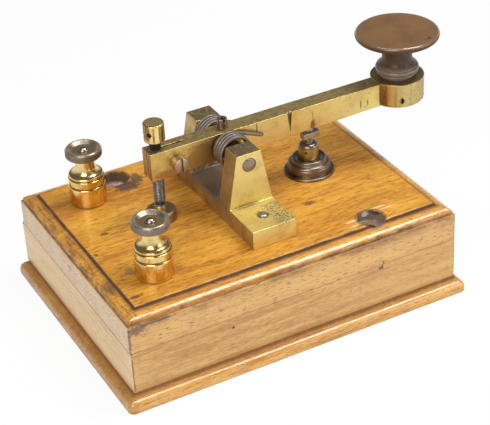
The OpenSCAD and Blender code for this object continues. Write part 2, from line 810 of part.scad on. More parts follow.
module lever_contact() {
    under = lever_under(anvil_reach);
    // Room for the lever's sloping underside over the contact's width
    slope_room = lever_contact_d / 2 * (lever_rear_h - lever_front_h) / (taper_end + lever_rear);
    color(silver) translate(pivot + [anvil_reach, 0, 0]) {
        translate([0, 0, under - lever_contact_h]) {
            cylinder(d = lever_contact_d, h = lever_contact_h - slope_room - seat_gap);
            cylinder(d = lever_contact_shank_d, h = lever_contact_h + lever_contact_shank_l - seat_gap);
        }
    }
}

module adjusting_screw() {
    bevel = 0.7;
    top_bevel = 0.3;
    color(brass) translate([rest_at.x, rest_at.y, top_z]) difference() {
        turned([
            [0, adjust_under], [pip_d / 2, adjust_under], [pip_d / 2, adjust_under + pip_h],
            [adjust_d / 2, adjust_under + pip_h], [adjust_d / 2, adjust_head_z],
            [adjust_head_d / 2 - bevel, adjust_head_z], [adjust_head_d / 2, adjust_head_z + bevel],
            [adjust_head_d / 2, adjust_head_z + adjust_head_h - top_bevel],
            [adjust_head_d / 2 - top_bevel, adjust_head_z + adjust_head_h],
            [0, adjust_head_z + adjust_head_h]
        ]);
        translate([0, 0, adjust_head_z + tommy_h]) rotate([90, 0, tommy_turn + 90]) {
            cylinder(d = tommy_d, h = 2 * adjust_head_d, center = true);
        }
    }
}

module clamp_screw() {
    color(old_brass) translate(pivot + [-clamp_back, -lever_t / 2 - face_gap, clamp_z]) rotate([-90, 0, 0]) {
        difference() {
            union() {
                translate([0, 0, -clamp_head_h]) cylinder(d = clamp_head_d, h = clamp_head_h);
                cylinder(d = clamp_d, h = clamp_shank);
            }
            translate([-clamp_slot_w / 2, -clamp_head_d, -clamp_head_h - cut_over]) {
                cube([clamp_slot_w, 2 * clamp_head_d, clamp_slot_depth + cut_over]);
            }
        }
    }
}

// Outline of the front contact's turned base: foot, band, two beads and the dome's seat
base_r = anvil_base_d / 2;
base_foot_h = 1.2;
base_foot_round = 0.7;
base_band_in = 1.6;
base_band_r = base_r - base_band_in;
base_band_h = 2.5;
base_band_top = base_foot_h + base_band_h;
base_groove = [0.25, 0.4];
base_seat_gap = 0.6;
base_seat_r = anvil_dome_d / 2 + base_seat_gap;
base_seat_slope = [0.6, 0.2];
base_bead_out = 1.6;
base_bead_r = [1.4, 0.8];
base_beads = [
    [base_band_r - base_groove.x - base_bead_r[0], base_band_top + base_groove.y],
    [base_seat_r + base_bead_out, anvil_base_h - base_bead_r[1]]
];
anvil_seat_h = 0.6;
anvil_dome_z = anvil_base_h - anvil_seat_h;
anvil_base_outline = concat(
    [[0, 0], [base_r, 0]],
    arc([base_r - base_foot_round, base_foot_h - base_foot_round], base_foot_round, base_foot_round, 0, 90, 5),
    [[base_band_r, base_foot_h], [base_band_r, base_band_top]],
    [for (i = [0:1]) each arc(base_beads[i], base_bead_r[i], base_bead_r[i], 0, 90, 6)],
    [[base_seat_r + base_seat_slope.x, anvil_base_h - base_seat_slope.y]],
    [[base_seat_r, anvil_dome_z], [0, anvil_dome_z]]
);

module front_contact_base() {
    color(dark_brass) translate([anvil_at.x, anvil_at.y, top_z]) difference() {
        turned(anvil_base_outline);
        hole(anvil_stud_d + 2 * seat_gap, 0, anvil_base_h);
    }
}

module front_contact_post() {
    dome_r = anvil_dome_d / 2;
    neck_r = anvil_neck_d / 2;
    side_share = 0.75;
    dome_side = anvil_dome_h * side_share;
    foot = -board_t + strap_nut - stud_out;
    color(brass) translate([anvil_at.x, anvil_at.y, top_z]) turned(concat(
        [[0, foot], [anvil_stud_d / 2, foot], [anvil_stud_d / 2, anvil_dome_z], [dome_r, anvil_dome_z]],
        arc([neck_r, anvil_dome_z + dome_side], dome_r - neck_r, anvil_dome_h - dome_side, 0, 90, 8),
        [[neck_r, anvil_neck_top], [0, anvil_neck_top]]
    ));
}

module front_contact_bar() {
    corner = [anvil_at.x + anvil_bar_shift - anvil_bar_l / 2, anvil_at.y - anvil_bar_w / 2];
    color(silver) translate([corner.x, corner.y, top_z + anvil_neck_top]) {
        cube([anvil_bar_l, anvil_bar_w, anvil_bar_h]);
    }
}

module front_contact_nut() {
    color(brass) translate([anvil_at.x, anvil_at.y, board_z + strap_nut]) {
        hex_nut(anvil_stud_d + 2 * seat_gap);
    }
}

module back_contact_base() {
    r = rest_base_d / 2;
    round_over = 1.2;
    color(old_brass) translate([rest_at.x, rest_at.y, top_z]) difference() {
        turned(concat(
            [[0, 0], [r, 0]],
            arc([r - round_over, rest_base_h - round_over], round_over, round_over, 0, 90, 6),
            [[0, rest_base_h]]
        ));
        hole(rest_stud_d + 2 * seat_gap, 0, rest_base_h);
    }
}

module back_contact_post() {
    foot = -board_t + bare_nut - stud_out;
    color(brass) translate([rest_at.x, rest_at.y, top_z]) turned([
        [0, foot], [rest_stud_d / 2, foot], [rest_stud_d / 2, rest_base_h],
        [rest_post_d / 2, rest_base_h], [rest_post_d / 2, rest_tip_z], [0, rest_tip_z]
    ]);
}

module back_contact_tip() {
    rim = 0.4;
    color(silver) translate([rest_at.x, rest_at.y, top_z + rest_tip_z]) {
        cylinder(d = rest_post_d - rim, h = rest_tip_h);
    }
}

module back_contact_nut() {
    color(brass) translate([rest_at.x, rest_at.y, board_z + bare_nut]) hex_nut(rest_stud_d + 2 * seat_gap);
}

// Pieces of one terminal, above the middle of its stud on the board
module collar() {
    r = collar_d / 2;
    difference() {
        turned([[0, 0], [r, 0], [r, collar_h - edge_chamfer], [r - edge_chamfer, collar_h], [0, collar_h]]);
        hole(stud_d + 2 * seat_gap, 0, collar_h);
    }
}

module stud() {
    domed_rod(stud_d, -board_t + strap_nut - stud_out, stud_top + stud_tip_h, stud_tip_h);
}

module clamp_washer() {
    r = washer_d / 2;
    translate([0, 0, washer_z]) difference() {
        turned([
            [0, 0], [r - edge_chamfer, 0], [r, edge_chamfer], [r, washer_h - edge_chamfer / 2],
            [r - edge_chamfer / 2, washer_h], [0, washer_h]
        ]);
        hole(stud_d + 2 * running_gap, 0, washer_h);
    }
}

// A thumb nut: round lip, bell, waist and a disc with a dished top
module thumb_nut() {
    r = thumb_d / 2;
    waist_r = thumb_waist_d / 2;
    lip = 0.75;
    lip_in = 0.35 + lip;
    lip_end = 60;
    lip_r = washer_d / 2 - lip_in;
    bell_r = lip_r + lip * cos(lip_end);
    bell_z = lip + lip * sin(lip_end);
    bell_h = 4.2;
    waist_z = bell_z + bell_h;
    disc_z = thumb_h - thumb_disc_h;
    flare = [1.2, 1.4];
    rim = 0.6;
    rim_w = 0.7;
    dish_r = 4.8;
    dish_z = thumb_h - thumb_dish;
    translate([0, 0, thumb_z]) difference() {
        turned(concat(
            [[0, 0]],
            arc([lip_r, lip], lip, lip, -90, lip_end, 6),
            arc([bell_r, waist_z], bell_r - waist_r, bell_h, 270, 180, 8),
            arc([waist_r + flare[0], disc_z - flare[1]], flare[0], flare[1], 180, 90, 4),
            [[r - rim, disc_z], [r, disc_z + rim], [r, thumb_h - rim], [r - rim, thumb_h]],
            [[r - rim - rim_w, thumb_h], [dish_r, dish_z], [0, dish_z]]
        ));
        hole(stud_d + 2 * running_gap, 0, thumb_h);
    }
}

module at_terminal(p) {
    translate([p.x, p.y, top_z]) children();
}

module front_collar() {
    color(brass) at_terminal(front_terminal_at) collar();
}

module front_stud() {
    color(silver) at_terminal(front_terminal_at) stud();
}

module front_clamp_washer() {
    color(brass) at_terminal(front_terminal_at) clamp_washer();
}

module front_thumb_nut() {
    color(brass) at_terminal(front_terminal_at) thumb_nut();
}

module back_collar() {
    color(brass) at_terminal(back_terminal_at) collar();
}

module back_stud() {
    color(silver) at_terminal(back_terminal_at) stud();
}

module back_clamp_washer() {
    color(brass) at_terminal(back_terminal_at) clamp_washer();
}

module back_thumb_nut() {
    color(brass) at_terminal(back_terminal_at) thumb_nut();
}

module terminal_nuts() {
    color(brass) for (p = [front_terminal_at, back_terminal_at]) {
        translate([p.x, p.y, board_z + strap_nut]) hex_nut(stud_d + 2 * seat_gap);
    }
}

// A flat strap under the board between two studs
module strap(a, b, a_d, b_d) {
    run = b - a;
    color(old_brass) translate([0, 0, board_z - strap_t]) linear_extrude(strap_t) difference() {
        union() {
            for (p = [a, b]) translate(p) circle(d = strap_eye_d);
            translate(a) rotate(atan2(run.y, run.x)) translate([0, -strap_w / 2]) {
                square([norm(run), strap_w]);
            }
        }
        translate(a) circle(d = a_d + 2 * seat_gap);
        translate(b) circle(d = b_d + 2 * seat_gap);
    }
}

module line_strap() {
    strap(front_terminal_at, anvil_at, stud_d, anvil_stud_d);
}

module key_strap() {
    strap(back_terminal_at, back_foot_stud_at, stud_d, foot_stud_d);
}

top_board();
front_rail();
back_rail();
left_rail();
right_rail();
plinth_board();
box_screws();
yoke();
pivot_axle();
foot_studs();
foot_nuts();
front_spring();
back_spring();
lever();
pivot_bush();
lock_screw();
knob();
knob_screw();
set_screw();
lever_contact();
adjusting_screw();
clamp_screw();
front_contact_base();
front_contact_post();
front_contact_bar();
front_contact_nut();
back_contact_base();
back_contact_post();
back_contact_tip();
back_contact_nut();
front_collar();
front_stud();
front_clamp_washer();
front_thumb_nut();
back_collar();
back_stud();
back_clamp_washer();
back_thumb_nut();
terminal_nuts();
line_strap();
key_strap();
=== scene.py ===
"""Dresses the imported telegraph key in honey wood, old brass, dark steel and brown hard rubber.

Sizes are in millimetres in the key's own frame: +X along the lever to the knob, +Y to the back, +Z up.
"""

import logging
import math
from dataclasses import dataclass
from enum import Enum
from typing import Callable, Sequence

import bmesh
import bpy
from mathutils import Matrix, Vector
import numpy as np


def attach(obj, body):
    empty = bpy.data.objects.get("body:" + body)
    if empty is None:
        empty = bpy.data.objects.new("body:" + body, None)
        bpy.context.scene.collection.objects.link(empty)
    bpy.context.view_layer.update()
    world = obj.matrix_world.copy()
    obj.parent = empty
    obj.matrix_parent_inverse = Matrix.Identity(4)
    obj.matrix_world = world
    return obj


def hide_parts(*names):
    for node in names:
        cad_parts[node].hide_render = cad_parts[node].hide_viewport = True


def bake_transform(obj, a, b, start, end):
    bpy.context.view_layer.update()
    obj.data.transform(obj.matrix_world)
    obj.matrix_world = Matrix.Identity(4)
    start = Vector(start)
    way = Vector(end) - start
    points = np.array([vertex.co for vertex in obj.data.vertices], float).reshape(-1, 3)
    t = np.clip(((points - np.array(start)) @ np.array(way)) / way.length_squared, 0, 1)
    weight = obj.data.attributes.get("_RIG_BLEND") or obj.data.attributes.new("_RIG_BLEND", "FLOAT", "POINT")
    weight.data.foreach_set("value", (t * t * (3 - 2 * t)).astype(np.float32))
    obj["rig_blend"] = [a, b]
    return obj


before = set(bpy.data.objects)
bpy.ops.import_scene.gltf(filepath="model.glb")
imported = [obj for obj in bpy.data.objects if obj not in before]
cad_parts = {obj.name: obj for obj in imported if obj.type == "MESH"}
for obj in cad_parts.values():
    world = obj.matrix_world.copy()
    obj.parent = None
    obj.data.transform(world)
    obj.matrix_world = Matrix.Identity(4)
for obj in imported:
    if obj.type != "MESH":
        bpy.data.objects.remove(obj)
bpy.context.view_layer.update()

MM = 0.001
LOG = logging.getLogger("telegraph_key")

Point = tuple[float, float]
Place = tuple[float, float, float]
Colour = tuple[float, float, float]


class Along(Enum):
    """The direction in which a piece of wood or a turned piece runs."""

    X = 0
    Y = 1
    Z = 2


# Outlines


def arc(centre: Point, rx: float, ry: float, start: float, end: float, steps: int = 12) -> list[Point]:
    """Lists points on an ellipse.

    Args:
        centre: The ellipse's centre.
        rx: Its half width.
        ry: Its half height.
        start: First angle in degrees.
        end: Last angle in degrees.
        steps: Number of stretches.

    Returns:
        The points from the first angle to the last.
    """
    points = []
    for i in range(steps + 1):
        a = math.radians(start + (end - start) * i / steps)
        points.append((centre[0] + rx * math.cos(a), centre[1] + ry * math.sin(a)))
    return points


def eased(outline: Sequence[Point], radius: float, closed: bool = False, steps: int = 4) -> list[Point]:
    """Rounds the sharp corners of an outline.

    Args:
        outline: Points of the outline.
        radius: How far from a corner its rounding starts.
        closed: Whether the last point joins the first.
        steps: Stretches in each rounding.

    Returns:
        The outline with its corners rounded.
    """
    sharp = math.radians(24)
    points = [Vector(p) for p in outline]
    result: list[Point] = []
    for i, corner in enumerate(points):
        if not closed and i in (0, len(points) - 1):
            result.append(tuple(corner))
            continue
        back = points[i - 1] - corner
        ahead = points[(i + 1) % len(points)] - corner
        if back.length < 1e-9 or ahead.length < 1e-9 or math.pi - back.angle(ahead) < sharp:
            result.append(tuple(corner))
            continue
        reach = min(radius, 0.45 * back.length, 0.45 * ahead.length)
        first = corner + back.normalized() * reach
        last = corner + ahead.normalized() * reach
        for k in range(steps + 1):
            t = k / steps
            point = first * (1 - t) ** 2 + corner * (2 * t * (1 - t)) + last * t ** 2
            result.append(tuple(point))
    return result


def rod(radius: float, low: float, high: float) -> list[Point]:
    """Lists the outline of a plain round rod between two levels."""
    return [(0, low), (radius, low), (radius, high), (0, high)]


def oblong(first: Point, last: Point) -> list[Point]:
    """Lists the corners of a rectangle, given two opposite ones."""
    return [first, (last[0], first[1]), last, (first[0], last[1])]


# Meshes


class Blank:
    """Points and faces of one or more closed shells, in millimetres."""

    def __init__(self) -> None:
        """Starts with nothing."""
        self.points: list[Vector] = []
        self.faces: list[list[int]] = []

    def turned(self, outline: Sequence[Point], at: Place = (0, 0, 0), along: Along = Along.Z,
               sides: int = 96) -> "Blank":
        """Adds a solid of revolution.

        Args:
            outline: Radius and height, from the axis round to the axis again, or closed off it.
            at: Place of the outline's zero.
            along: Direction of the axis.
            sides: Points in each ring.

        Returns:
            This blank.
        """
        rings: list[list[int]] = []
        for r, h in outline:
            ring = []
            for k in range(1 if r < 1e-6 else sides):
                a = 2 * math.pi * k / sides
                ring.append(self._add(r * math.cos(a), r * math.sin(a), h, at, along))
            rings.append(ring)
        pairs = list(zip(rings, rings[1:]))
        if len(rings[0]) > 1:
            pairs.append((rings[-1], rings[0]))
        for low, high in pairs:
            for k in range(sides):
                n = (k + 1) % sides
                quad = [low[k % len(low)], low[n % len(low)], high[n % len(high)], high[k % len(high)]]
                face = list(dict.fromkeys(quad))
                if len(face) > 2:
                    self.faces.append(face)
        return self

    def prism(self, outline: Sequence[Point], low: float, high: float, along: Along) -> "Blank":
        """Adds a closed outline drawn out between two levels.

        Args:
            outline: Points in the plane across the direction: (y, z), (x, z) or (x, y).
            low: First level.
            high: Last level.
            along: Direction in which the outline is drawn out.

        Returns:
            This blank.
        """
        rings = []
        for level in (low, high):
            ring = []
            for u, v in outline:
                ring.append({Along.X: (level, u, v), Along.Y: (u, level, v), Along.Z: (u, v, level)}[along])
            rings.append(self.ring(ring))
        return self.lofted(rings)

    def lofted(self, rings: Sequence[Sequence[int]]) -> "Blank":
        """Joins rings of equally many points into a closed shell with a face at each end.

        Args:
            rings: The numbers of each ring's points.

        Returns:
            This blank.
        """
        for low, high in zip(rings, rings[1:]):
            for k in range(len(low)):
                n = (k + 1) % len(low)
                self.faces.append([low[k], low[n], high[n], high[k]])
        self.faces.append(list(reversed(rings[0])))
        self.faces.append(list(rings[-1]))
        return self

    def ring(self, points: Sequence[Place]) -> list[int]:
        """Adds points.

        Args:
            points: Their places.

        Returns:
            Their numbers.
        """
        first = len(self.points)
        self.points.extend(Vector(p) for p in points)
        return list(range(first, len(self.points)))

    def _add(self, u: float, v: float, h: float, at: Place, along: Along) -> int:
        """Adds one point of a turned ring.

        Args:
            u: Its first measure across the axis.
            v: Its second measure across the axis.
            h: Its height along the axis.
            at: Place of the outline's zero.
            along: Direction of the axis.

        Returns:
            Its number.
        """
        local = {Along.X: (h, u, v), Along.Y: (v, h, u), Along.Z: (u, v, h)}[along]
        self.points.append(Vector(local) + Vector(at))
        return len(self.points) - 1


class Forge:
    """Turns blanks into finished objects in metres."""

    SHARP = math.radians(42)
    BEVELLED = math.radians(35)
    SAME_PLACE = 1e-7

    def __init__(self) -> None:
        """Takes the collection that pieces go into."""
        self.shelf = bpy.context.scene.collection

    def rough(self, name: str, blank: Blank) -> bpy.types.Object:
        """Makes an object from a blank, with doubles merged and faces outwards.

        Args:
            name: The object's name.
            blank: Its points and faces.

        Returns:
            The object.
        """
        mesh = bpy.data.meshes.new(name)
        mesh.from_pydata([p * MM for p in blank.points], [], blank.faces)
        work = bmesh.new()
        work.from_mesh(mesh)
        bmesh.ops.remove_doubles(work, verts=work.verts, dist=self.SAME_PLACE)
        bmesh.ops.recalc_face_normals(work, faces=work.faces)
        work.to_mesh(mesh)
        work.free()
        thing = bpy.data.objects.new(name, mesh)
        self.shelf.objects.link(thing)
        return thing

    def settle(self, thing: bpy.types.Object) -> None:
        """Turns an object's live modifiers into its plain mesh.

        Args:
            thing: The object.
        """
        graph = bpy.context.evaluated_depsgraph_get()
        graph.update()
        mesh = bpy.data.meshes.new_from_object(thing.evaluated_get(graph), depsgraph=graph)
        thing.modifiers.clear()
        old = thing.data
        thing.data = mesh
        mesh.name = thing.name
        bpy.data.meshes.remove(old)

    def cut(self, thing: bpy.types.Object, cutters: Sequence[Blank]) -> None:
        """Takes blanks out of an object.

        Args:
            thing: The object.
            cutters: The blanks, which go one after the other.
        """
        for number, blank in enumerate(cutters):
            tool = self.rough(f"cutter_{number}", blank)
            step = thing.modifiers.new("cut", "BOOLEAN")
            step.operation = "DIFFERENCE"
            step.solver = "EXACT"
            step.object = tool
            self.settle(thing)
            mesh = tool.data
            bpy.data.objects.remove(tool)
            bpy.data.meshes.remove(mesh)

    def finish(self, thing: bpy.types.Object, bevel: float = 0.0) -> bpy.types.Object:
        """Eases an object's edges, shades it smoothly and notes which way its faces look.

        Args:
            thing: The object.
            bevel: Width of the easing in millimetres, or 0 for none.

        Returns:
            The same object.
        """
        if bevel:
            step = thing.modifiers.new("ease", "BEVEL")
            step.width = bevel * MM
            step.segments = 3
            step.limit_method = "ANGLE"
            step.angle_limit = self.BEVELLED
            step.use_clamp_overlap = True
            self.settle(thing)
        work = bmesh.new()
        work.from_mesh(thing.data)
        bmesh.ops.recalc_face_normals(work, faces=work.faces)
        for face in work.faces:
            face.smooth = True
        for edge in work.edges:
            edge.smooth = edge.calc_face_angle(0.0) < self.SHARP
        work.to_mesh(thing.data)
        work.free()
        weigh = thing.modifiers.new("weigh", "WEIGHTED_NORMAL")
        weigh.keep_sharp = True
        self.settle(thing)
        for name, way in (("up", Vector((0, 0, 1))), ("left", Vector((-1, 0, 0)))):
            earlier = thing.data.attributes.get(name)
            if earlier:
                thing.data.attributes.remove(earlier)
            looks = thing.data.attributes.new(name, "FLOAT", "FACE")
            for polygon in thing.data.polygons:
                looks.data[polygon.index].value = polygon.normal.dot(way)
        return thing


FORGE = Forge()


def place_piece(thing: bpy.types.Object, body: str, paint: bpy.types.Material,
                node: str | None = None) -> None:
    """Gives a piece its material, its body and the node that it stands for.

    Args:
        thing: The piece.
        body: The body that it rides on.
        paint: Its material.
        node: The CAD node that it replaces, if it replaces one.
    """
    thing.data.materials.clear()
    thing.data.materials.append(paint)
    if "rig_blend" not in thing:
        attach(thing, body)
    if node:
        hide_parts(node)
    LOG.info("%s on %s, %d faces", thing.name, body, len(thing.data.polygons))


def turn_piece(name: str, outline: Sequence[Point], at: Place, along: Along, sides: int, body: str,
               paint: bpy.types.Material, node: str) -> None:
    """Turns a piece that needs no cutting, and places it.

    Args:
        name: The piece's name.
        outline: Radius and height of its outline.
        at: Place of the outline's zero.
        along: Direction of its axis.
        sides: Points in each ring.
        body: The body that it rides on.
        paint: Its material.
        node: The CAD node that it replaces.
    """
    thing = FORGE.finish(FORGE.rough(name, Blank().turned(outline, at, along, sides)))
    place_piece(thing, body, paint, node)


def dress_node(node: str, paint: bpy.types.Material) -> None:
    """Gives a carried-over CAD node a material.

    Args:
        node: The node's name.
        paint: Its material.
    """
    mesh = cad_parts[node].data
    mesh.materials.clear()
    mesh.materials.append(paint)
    LOG.info("%s keeps its CAD solid", node)


# Node trees


class Graph:
    """A node tree that is put together node by node."""

    def __init__(self, tree: bpy.types.NodeTree) -> None:
        """Keeps the tree."""
        self.tree = tree

    def node(self, kind: str, settings: dict[str, object] | None = None,
             sockets: dict[int | str, object] | None = None) -> bpy.types.Node:
        """Adds a node.

        Args:
            kind: The node's type.
            settings: Its properties, which are set first; "stops" are a ramp's places and colours.
            sockets: Values or links of its inputs, by name or number.

        Returns:
            The new node.
        """
        node = self.tree.nodes.new(kind)
        for key, value in (settings or {}).items():
            if key == "stops":
                self._stops(node.color_ramp.elements, value)
            else:
                setattr(node, key, value)
        for key, value in (sockets or {}).items():
            self.feed(node.inputs[key], value)
        return node

    def feed(self, socket: bpy.types.NodeSocket, value: object) -> None:
        """Links a socket to another, or sets its value.

        Args:
            socket: The input.
            value: A shader value, an output, or a plain value; a colour has no alpha.
        """
        if isinstance(value, Value):
            value = value.socket
        if isinstance(value, bpy.types.NodeSocket):
            self.tree.links.new(value, socket)
        elif socket.type == "RGBA":
            socket.default_value = (*value, 1.0)
        else:
            socket.default_value = value

    @staticmethod
    def _stops(elements: bpy.types.bpy_prop_collection, stops: Sequence[tuple[float, Colour]]) -> None:
        """Sets a ramp's stops.

        Args:
            elements: The ramp's own list.
            stops: Places and colours, in rising order.
        """
        elements[0].position = stops[0][0]
        elements[1].position = stops[-1][0]
        elements[0].color = (*stops[0][1], 1.0)
        elements[1].color = (*stops[-1][1], 1.0)
        for where, colour in stops[1:-1]:
            elements.new(where).color = (*colour, 1.0)


class Value:
    """A shader value that takes part in Python arithmetic."""

    def __init__(self, graph: Graph, socket: bpy.types.NodeSocket) -> None:
        """Keeps the tree and the socket."""
        self.graph = graph
        self.socket = socket

    def _math(self, operation: str, first: object, second: object = 0.0, clamp: bool = False) -> "Value":
        """Adds a Math node and gives its result."""
        settings = {"operation": operation, "use_clamp": clamp}
        return Value(self.graph, self.graph.node("ShaderNodeMath", settings, {0: first, 1: second}).outputs[0])

    def __add__(self, other: object) -> "Value":
        """Adds."""
        return self._math("ADD", self, other)

    __radd__ = __add__

    def __sub__(self, other: object) -> "Value":
        """Takes away."""
        return self._math("SUBTRACT", self, other)

    def __rsub__(self, other: object) -> "Value":
        """Takes this away from a number."""
        return self._math("SUBTRACT", other, self)

    def __mul__(self, other: object) -> "Value":
        """Multiplies."""
        return self._math("MULTIPLY", self, other)

    __rmul__ = __mul__

    def __truediv__(self, other: object) -> "Value":
        """Divides."""
        return self._math("DIVIDE", self, other)

    def __abs__(self) -> "Value":
        """Drops the sign."""
        return self._math("ABSOLUTE", self)

    def least(self, other: object) -> "Value":
        """Gives the smaller of two."""
        return self._math("MINIMUM", self, other)

    def most(self, other: object) -> "Value":
        """Gives the larger of two."""
        return self._math("MAXIMUM", self, other)

    def held(self) -> "Value":
        """Keeps the value between 0 and 1."""
        return self._math("ADD", self, 0.0, True)

    def rise(self, low: float, high: float) -> "Value":
        """Goes smoothly from 0 at the first number to 1 at the second.

        Args:
            low: Where the result is 0, which may be the larger number.
            high: Where the result is 1.

        Returns:
            The result.
        """
        node = self.graph.node(
            "ShaderNodeMapRange", {"interpolation_type": "SMOOTHSTEP"},
            {0: self, 1: min(low, high), 2: max(low, high), 3: float(low > high), 4: float(low < high)},
        )
        return Value(self.graph, node.outputs[0])

    def near(self, centre: float, half: float) -> "Value":
        """Is 1 at a number and falls smoothly to 0 at a distance from it."""
        return abs(self - centre).rise(half, 0.0)


class Coat(Graph):
    """A material's node tree while it is put together."""

    def __init__(self, name: str) -> None:
        """Starts an empty material."""
        self.material = bpy.data.materials.new(name)
        self.material.use_nodes = True
        super().__init__(self.material.node_tree)
        self.tree.nodes.clear()
        here = self.node("ShaderNodeTexCoord").outputs["Object"]
        self.at = self.node("ShaderNodeVectorMath", {"operation": "SCALE"}, {0: here, 3: 1 / MM}).outputs[0]
        split = self.node("ShaderNodeSeparateXYZ", {}, {0: self.at})
        self.x, self.y, self.z = (Value(self, socket) for socket in split.outputs)

    def stretched(self, scale: Place) -> bpy.types.NodeSocket:
        """Gives the place on the piece, in millimetres, with each axis scaled."""
        return self.node("ShaderNodeVectorMath", {"operation": "MULTIPLY"}, {0: self.at, 1: scale}).outputs[0]

    def noise(self, scale: Place, detail: float = 2.0, rough: float = 0.5, bend: float = 0.0) -> Value:
        """Gives noise from about 0.25 to 0.75.

        Args:
            scale: Cells in a millimetre along each axis.
            detail: Octaves.
            rough: Share of each finer octave.
            bend: How much the cells are bent.

        Returns:
            The noise.
        """
        sockets = {"Vector": self.stretched(scale), "Scale": 1.0, "Detail": detail, "Roughness": rough}
        node = self.node("ShaderNodeTexNoise", {}, {**sockets, "Distortion": bend})
        return Value(self, node.outputs[0])

    def attribute(self, name: str) -> Value:
        """Gives one of the piece's own values."""
        return Value(self, self.node("ShaderNodeAttribute", {"attribute_name": name}).outputs["Fac"])

    def blend(self, share: object, first: object, second: object) -> bpy.types.NodeSocket:
        """Mixes two colours."""
        sockets = {0: share, 6: first, 7: second}
        return self.node("ShaderNodeMix", {"data_type": "RGBA"}, sockets).outputs[2]

    def ramp(self, value: Value, stops: Sequence[tuple[float, Colour]]) -> bpy.types.NodeSocket:
        """Gives a colour for a value from 0 to 1."""
        return self.node("ShaderNodeValToRGB", {"stops": stops}, {0: value}).outputs[0]

    def spot(self, centre: Place, radii: Place, ragged: Value) -> Value:
        """Gives a ragged mark.

        Args:
            centre: Its middle.
            radii: Its half sizes.
            ragged: Noise that breaks its edge.

        Returns:
            1 in its middle and 0 outside.
        """
        off = self.node("ShaderNodeVectorMath", {"operation": "SUBTRACT"}, {0: self.at, 1: centre}).outputs[0]
        unit = self.node("ShaderNodeVectorMath", {"operation": "DIVIDE"}, {0: off, 1: radii}).outputs[0]
        far = self.node("ShaderNodeVectorMath", {"operation": "LENGTH"}, {0: unit}).outputs[1]
        return (Value(self, far) + (ragged - 0.5) * 1.4).rise(1.1, 0.6)

    def marked(self, colour: object, marks: Sequence["Mark"], ragged: Value) -> object:
        """Lays marks over a colour.

        Args:
            colour: The colour below.
            marks: The marks, the lowest first.
            ragged: Noise that breaks their edges.

        Returns:
            The colour with its marks.
        """
        for mark in marks:
            where = self.spot(mark.centre, mark.radii, ragged) * mark.strength
            colour = self.blend(where, colour, mark.colour)
        return colour

    def bump(self, height: Value, depth: float, strength: float = 1.0) -> bpy.types.NodeSocket:
        """Gives a normal from a height, with the depth in millimetres."""
        sockets = {"Strength": strength, "Distance": depth * MM, "Height": height}
        return self.node("ShaderNodeBump", {}, sockets).outputs[0]

    def close(self, sockets: dict[int | str, object]) -> bpy.types.Material:
        """Ends the material with its surface shader.

        Args:
            sockets: Values or links of the shader's inputs.

        Returns:
            The material.
        """
        surface = self.node("ShaderNodeBsdfPrincipled", {}, sockets)
        self.node("ShaderNodeOutputMaterial", {}, {"Surface": surface.outputs[0]})
        return self.material


# Finishes


@dataclass(frozen=True)
class Mark:
    """A stain, dent, scuff, painted shade, painted highlight or painted reflection: its place, size, colour,
    strength and how much it roughens metal.
    """

    centre: Place
    radii: Place
    colour: Colour
    strength: float
    rough: float = 0.3


@dataclass(frozen=True)
class HoneyWood:
    """Polished honey-coloured wood with streaks along the grain and fine dark flecks."""

    pale: Colour
    honey: Colour
    deep: Colour
    along: Along = Along.X
    gloss: float = 0.3
    fleck: float = 0.55
    dirt_and_shade: Colour = (0.14, 0.062, 0.034)
    polish_rough: float = 0.18

    def grain(self, across: float, long: float) -> Place:
        """Gives a noise scale with its cells drawn out along the grain."""
        return (long, across, across) if self.along is Along.X else (across, long, across)

    def paint(self, name: str, darkening: Callable[[Coat], Value] | None = None,
              tinted_regions: Sequence[tuple[Callable[[Coat], Value], Colour]] = (),
              marks: Sequence[Mark] = (),
              shine: Callable[[Coat], Value] | None = None) -> bpy.types.Material:
        """Makes the material.

        Args:
            name: Its name.
            darkening: Gives how far the colour goes to the dirt-and-shade colour: dirt, and painted shade in
                corners.
            tinted_regions: Where the wood takes another colour, each with that colour.
            marks: Stains, dents and painted highlights.
            shine: Gives where the polish is high.

        Returns:
            The material.
        """
        coat = Coat(name)
        figure = coat.noise(self.grain(0.1, 0.012), 3.0, 0.55, 0.4)
        streak = coat.noise(self.grain(0.7, 0.06), 4.0, 0.65, 0.3)
        fine = coat.noise(self.grain(2.2, 0.3), 3.0, 0.65)
        pores = coat.noise(self.grain(2.6, 0.3), 1.0).rise(0.59, 0.7)
        cloud = coat.noise((0.05, 0.07, 0.07), 3.0)
        tone = (figure * 0.3 + streak * 0.38 + fine * 0.32).rise(0.36, 0.64)
        colour = coat.ramp(tone, [(0.0, self.deep), (0.45, self.honey), (1.0, self.pale)])
        for where, region_colour in tinted_regions:
            plain = coat.blend(tone, tuple(c * 0.86 for c in region_colour), tuple(min(1.0, c * 1.1) for c in region_colour))
            colour = coat.blend(where(coat) * 0.85, colour, plain)
        colour = coat.blend(pores * self.fleck, colour, tuple(c * 0.35 for c in self.deep))
        colour = coat.blend(cloud.rise(0.5, 0.72) * 0.3, colour, self.deep)
        ragged = coat.noise((0.7, 0.9, 0.9), 3.0)
        colour = coat.marked(colour, marks, ragged)
        # worn: how far the dirt and painted shade go; it also roughens the wood and thins its polish.
        worn = 0.0
        if darkening:
            worn = (darkening(coat) * (0.55 + ragged * 0.9)).held()
            colour = coat.blend(worn, colour, self.dirt_and_shade)
        polish = self.gloss + (cloud - 0.5) * 0.8
        if shine:
            broken = coat.noise((0.14, 0.14, 0.5), 4.0, 0.6).rise(0.4, 0.55)
            polish = polish + shine(coat) * (0.3 + broken * 0.7)
        relief = fine * 0.5 - pores + streak * 0.3
        return coat.close({
            "Base Color": colour,
            "Roughness": 0.34 + fine * 0.16 + pores * 0.2 + worn * 0.25,
            "Specular IOR Level": 0.35,
            "Coat Weight": (polish - worn * 0.6).held(),
            "Coat Roughness": self.polish_rough,
            "Coat IOR": 1.65,
            "Normal": coat.bump(relief, 0.05, 0.5),
        })


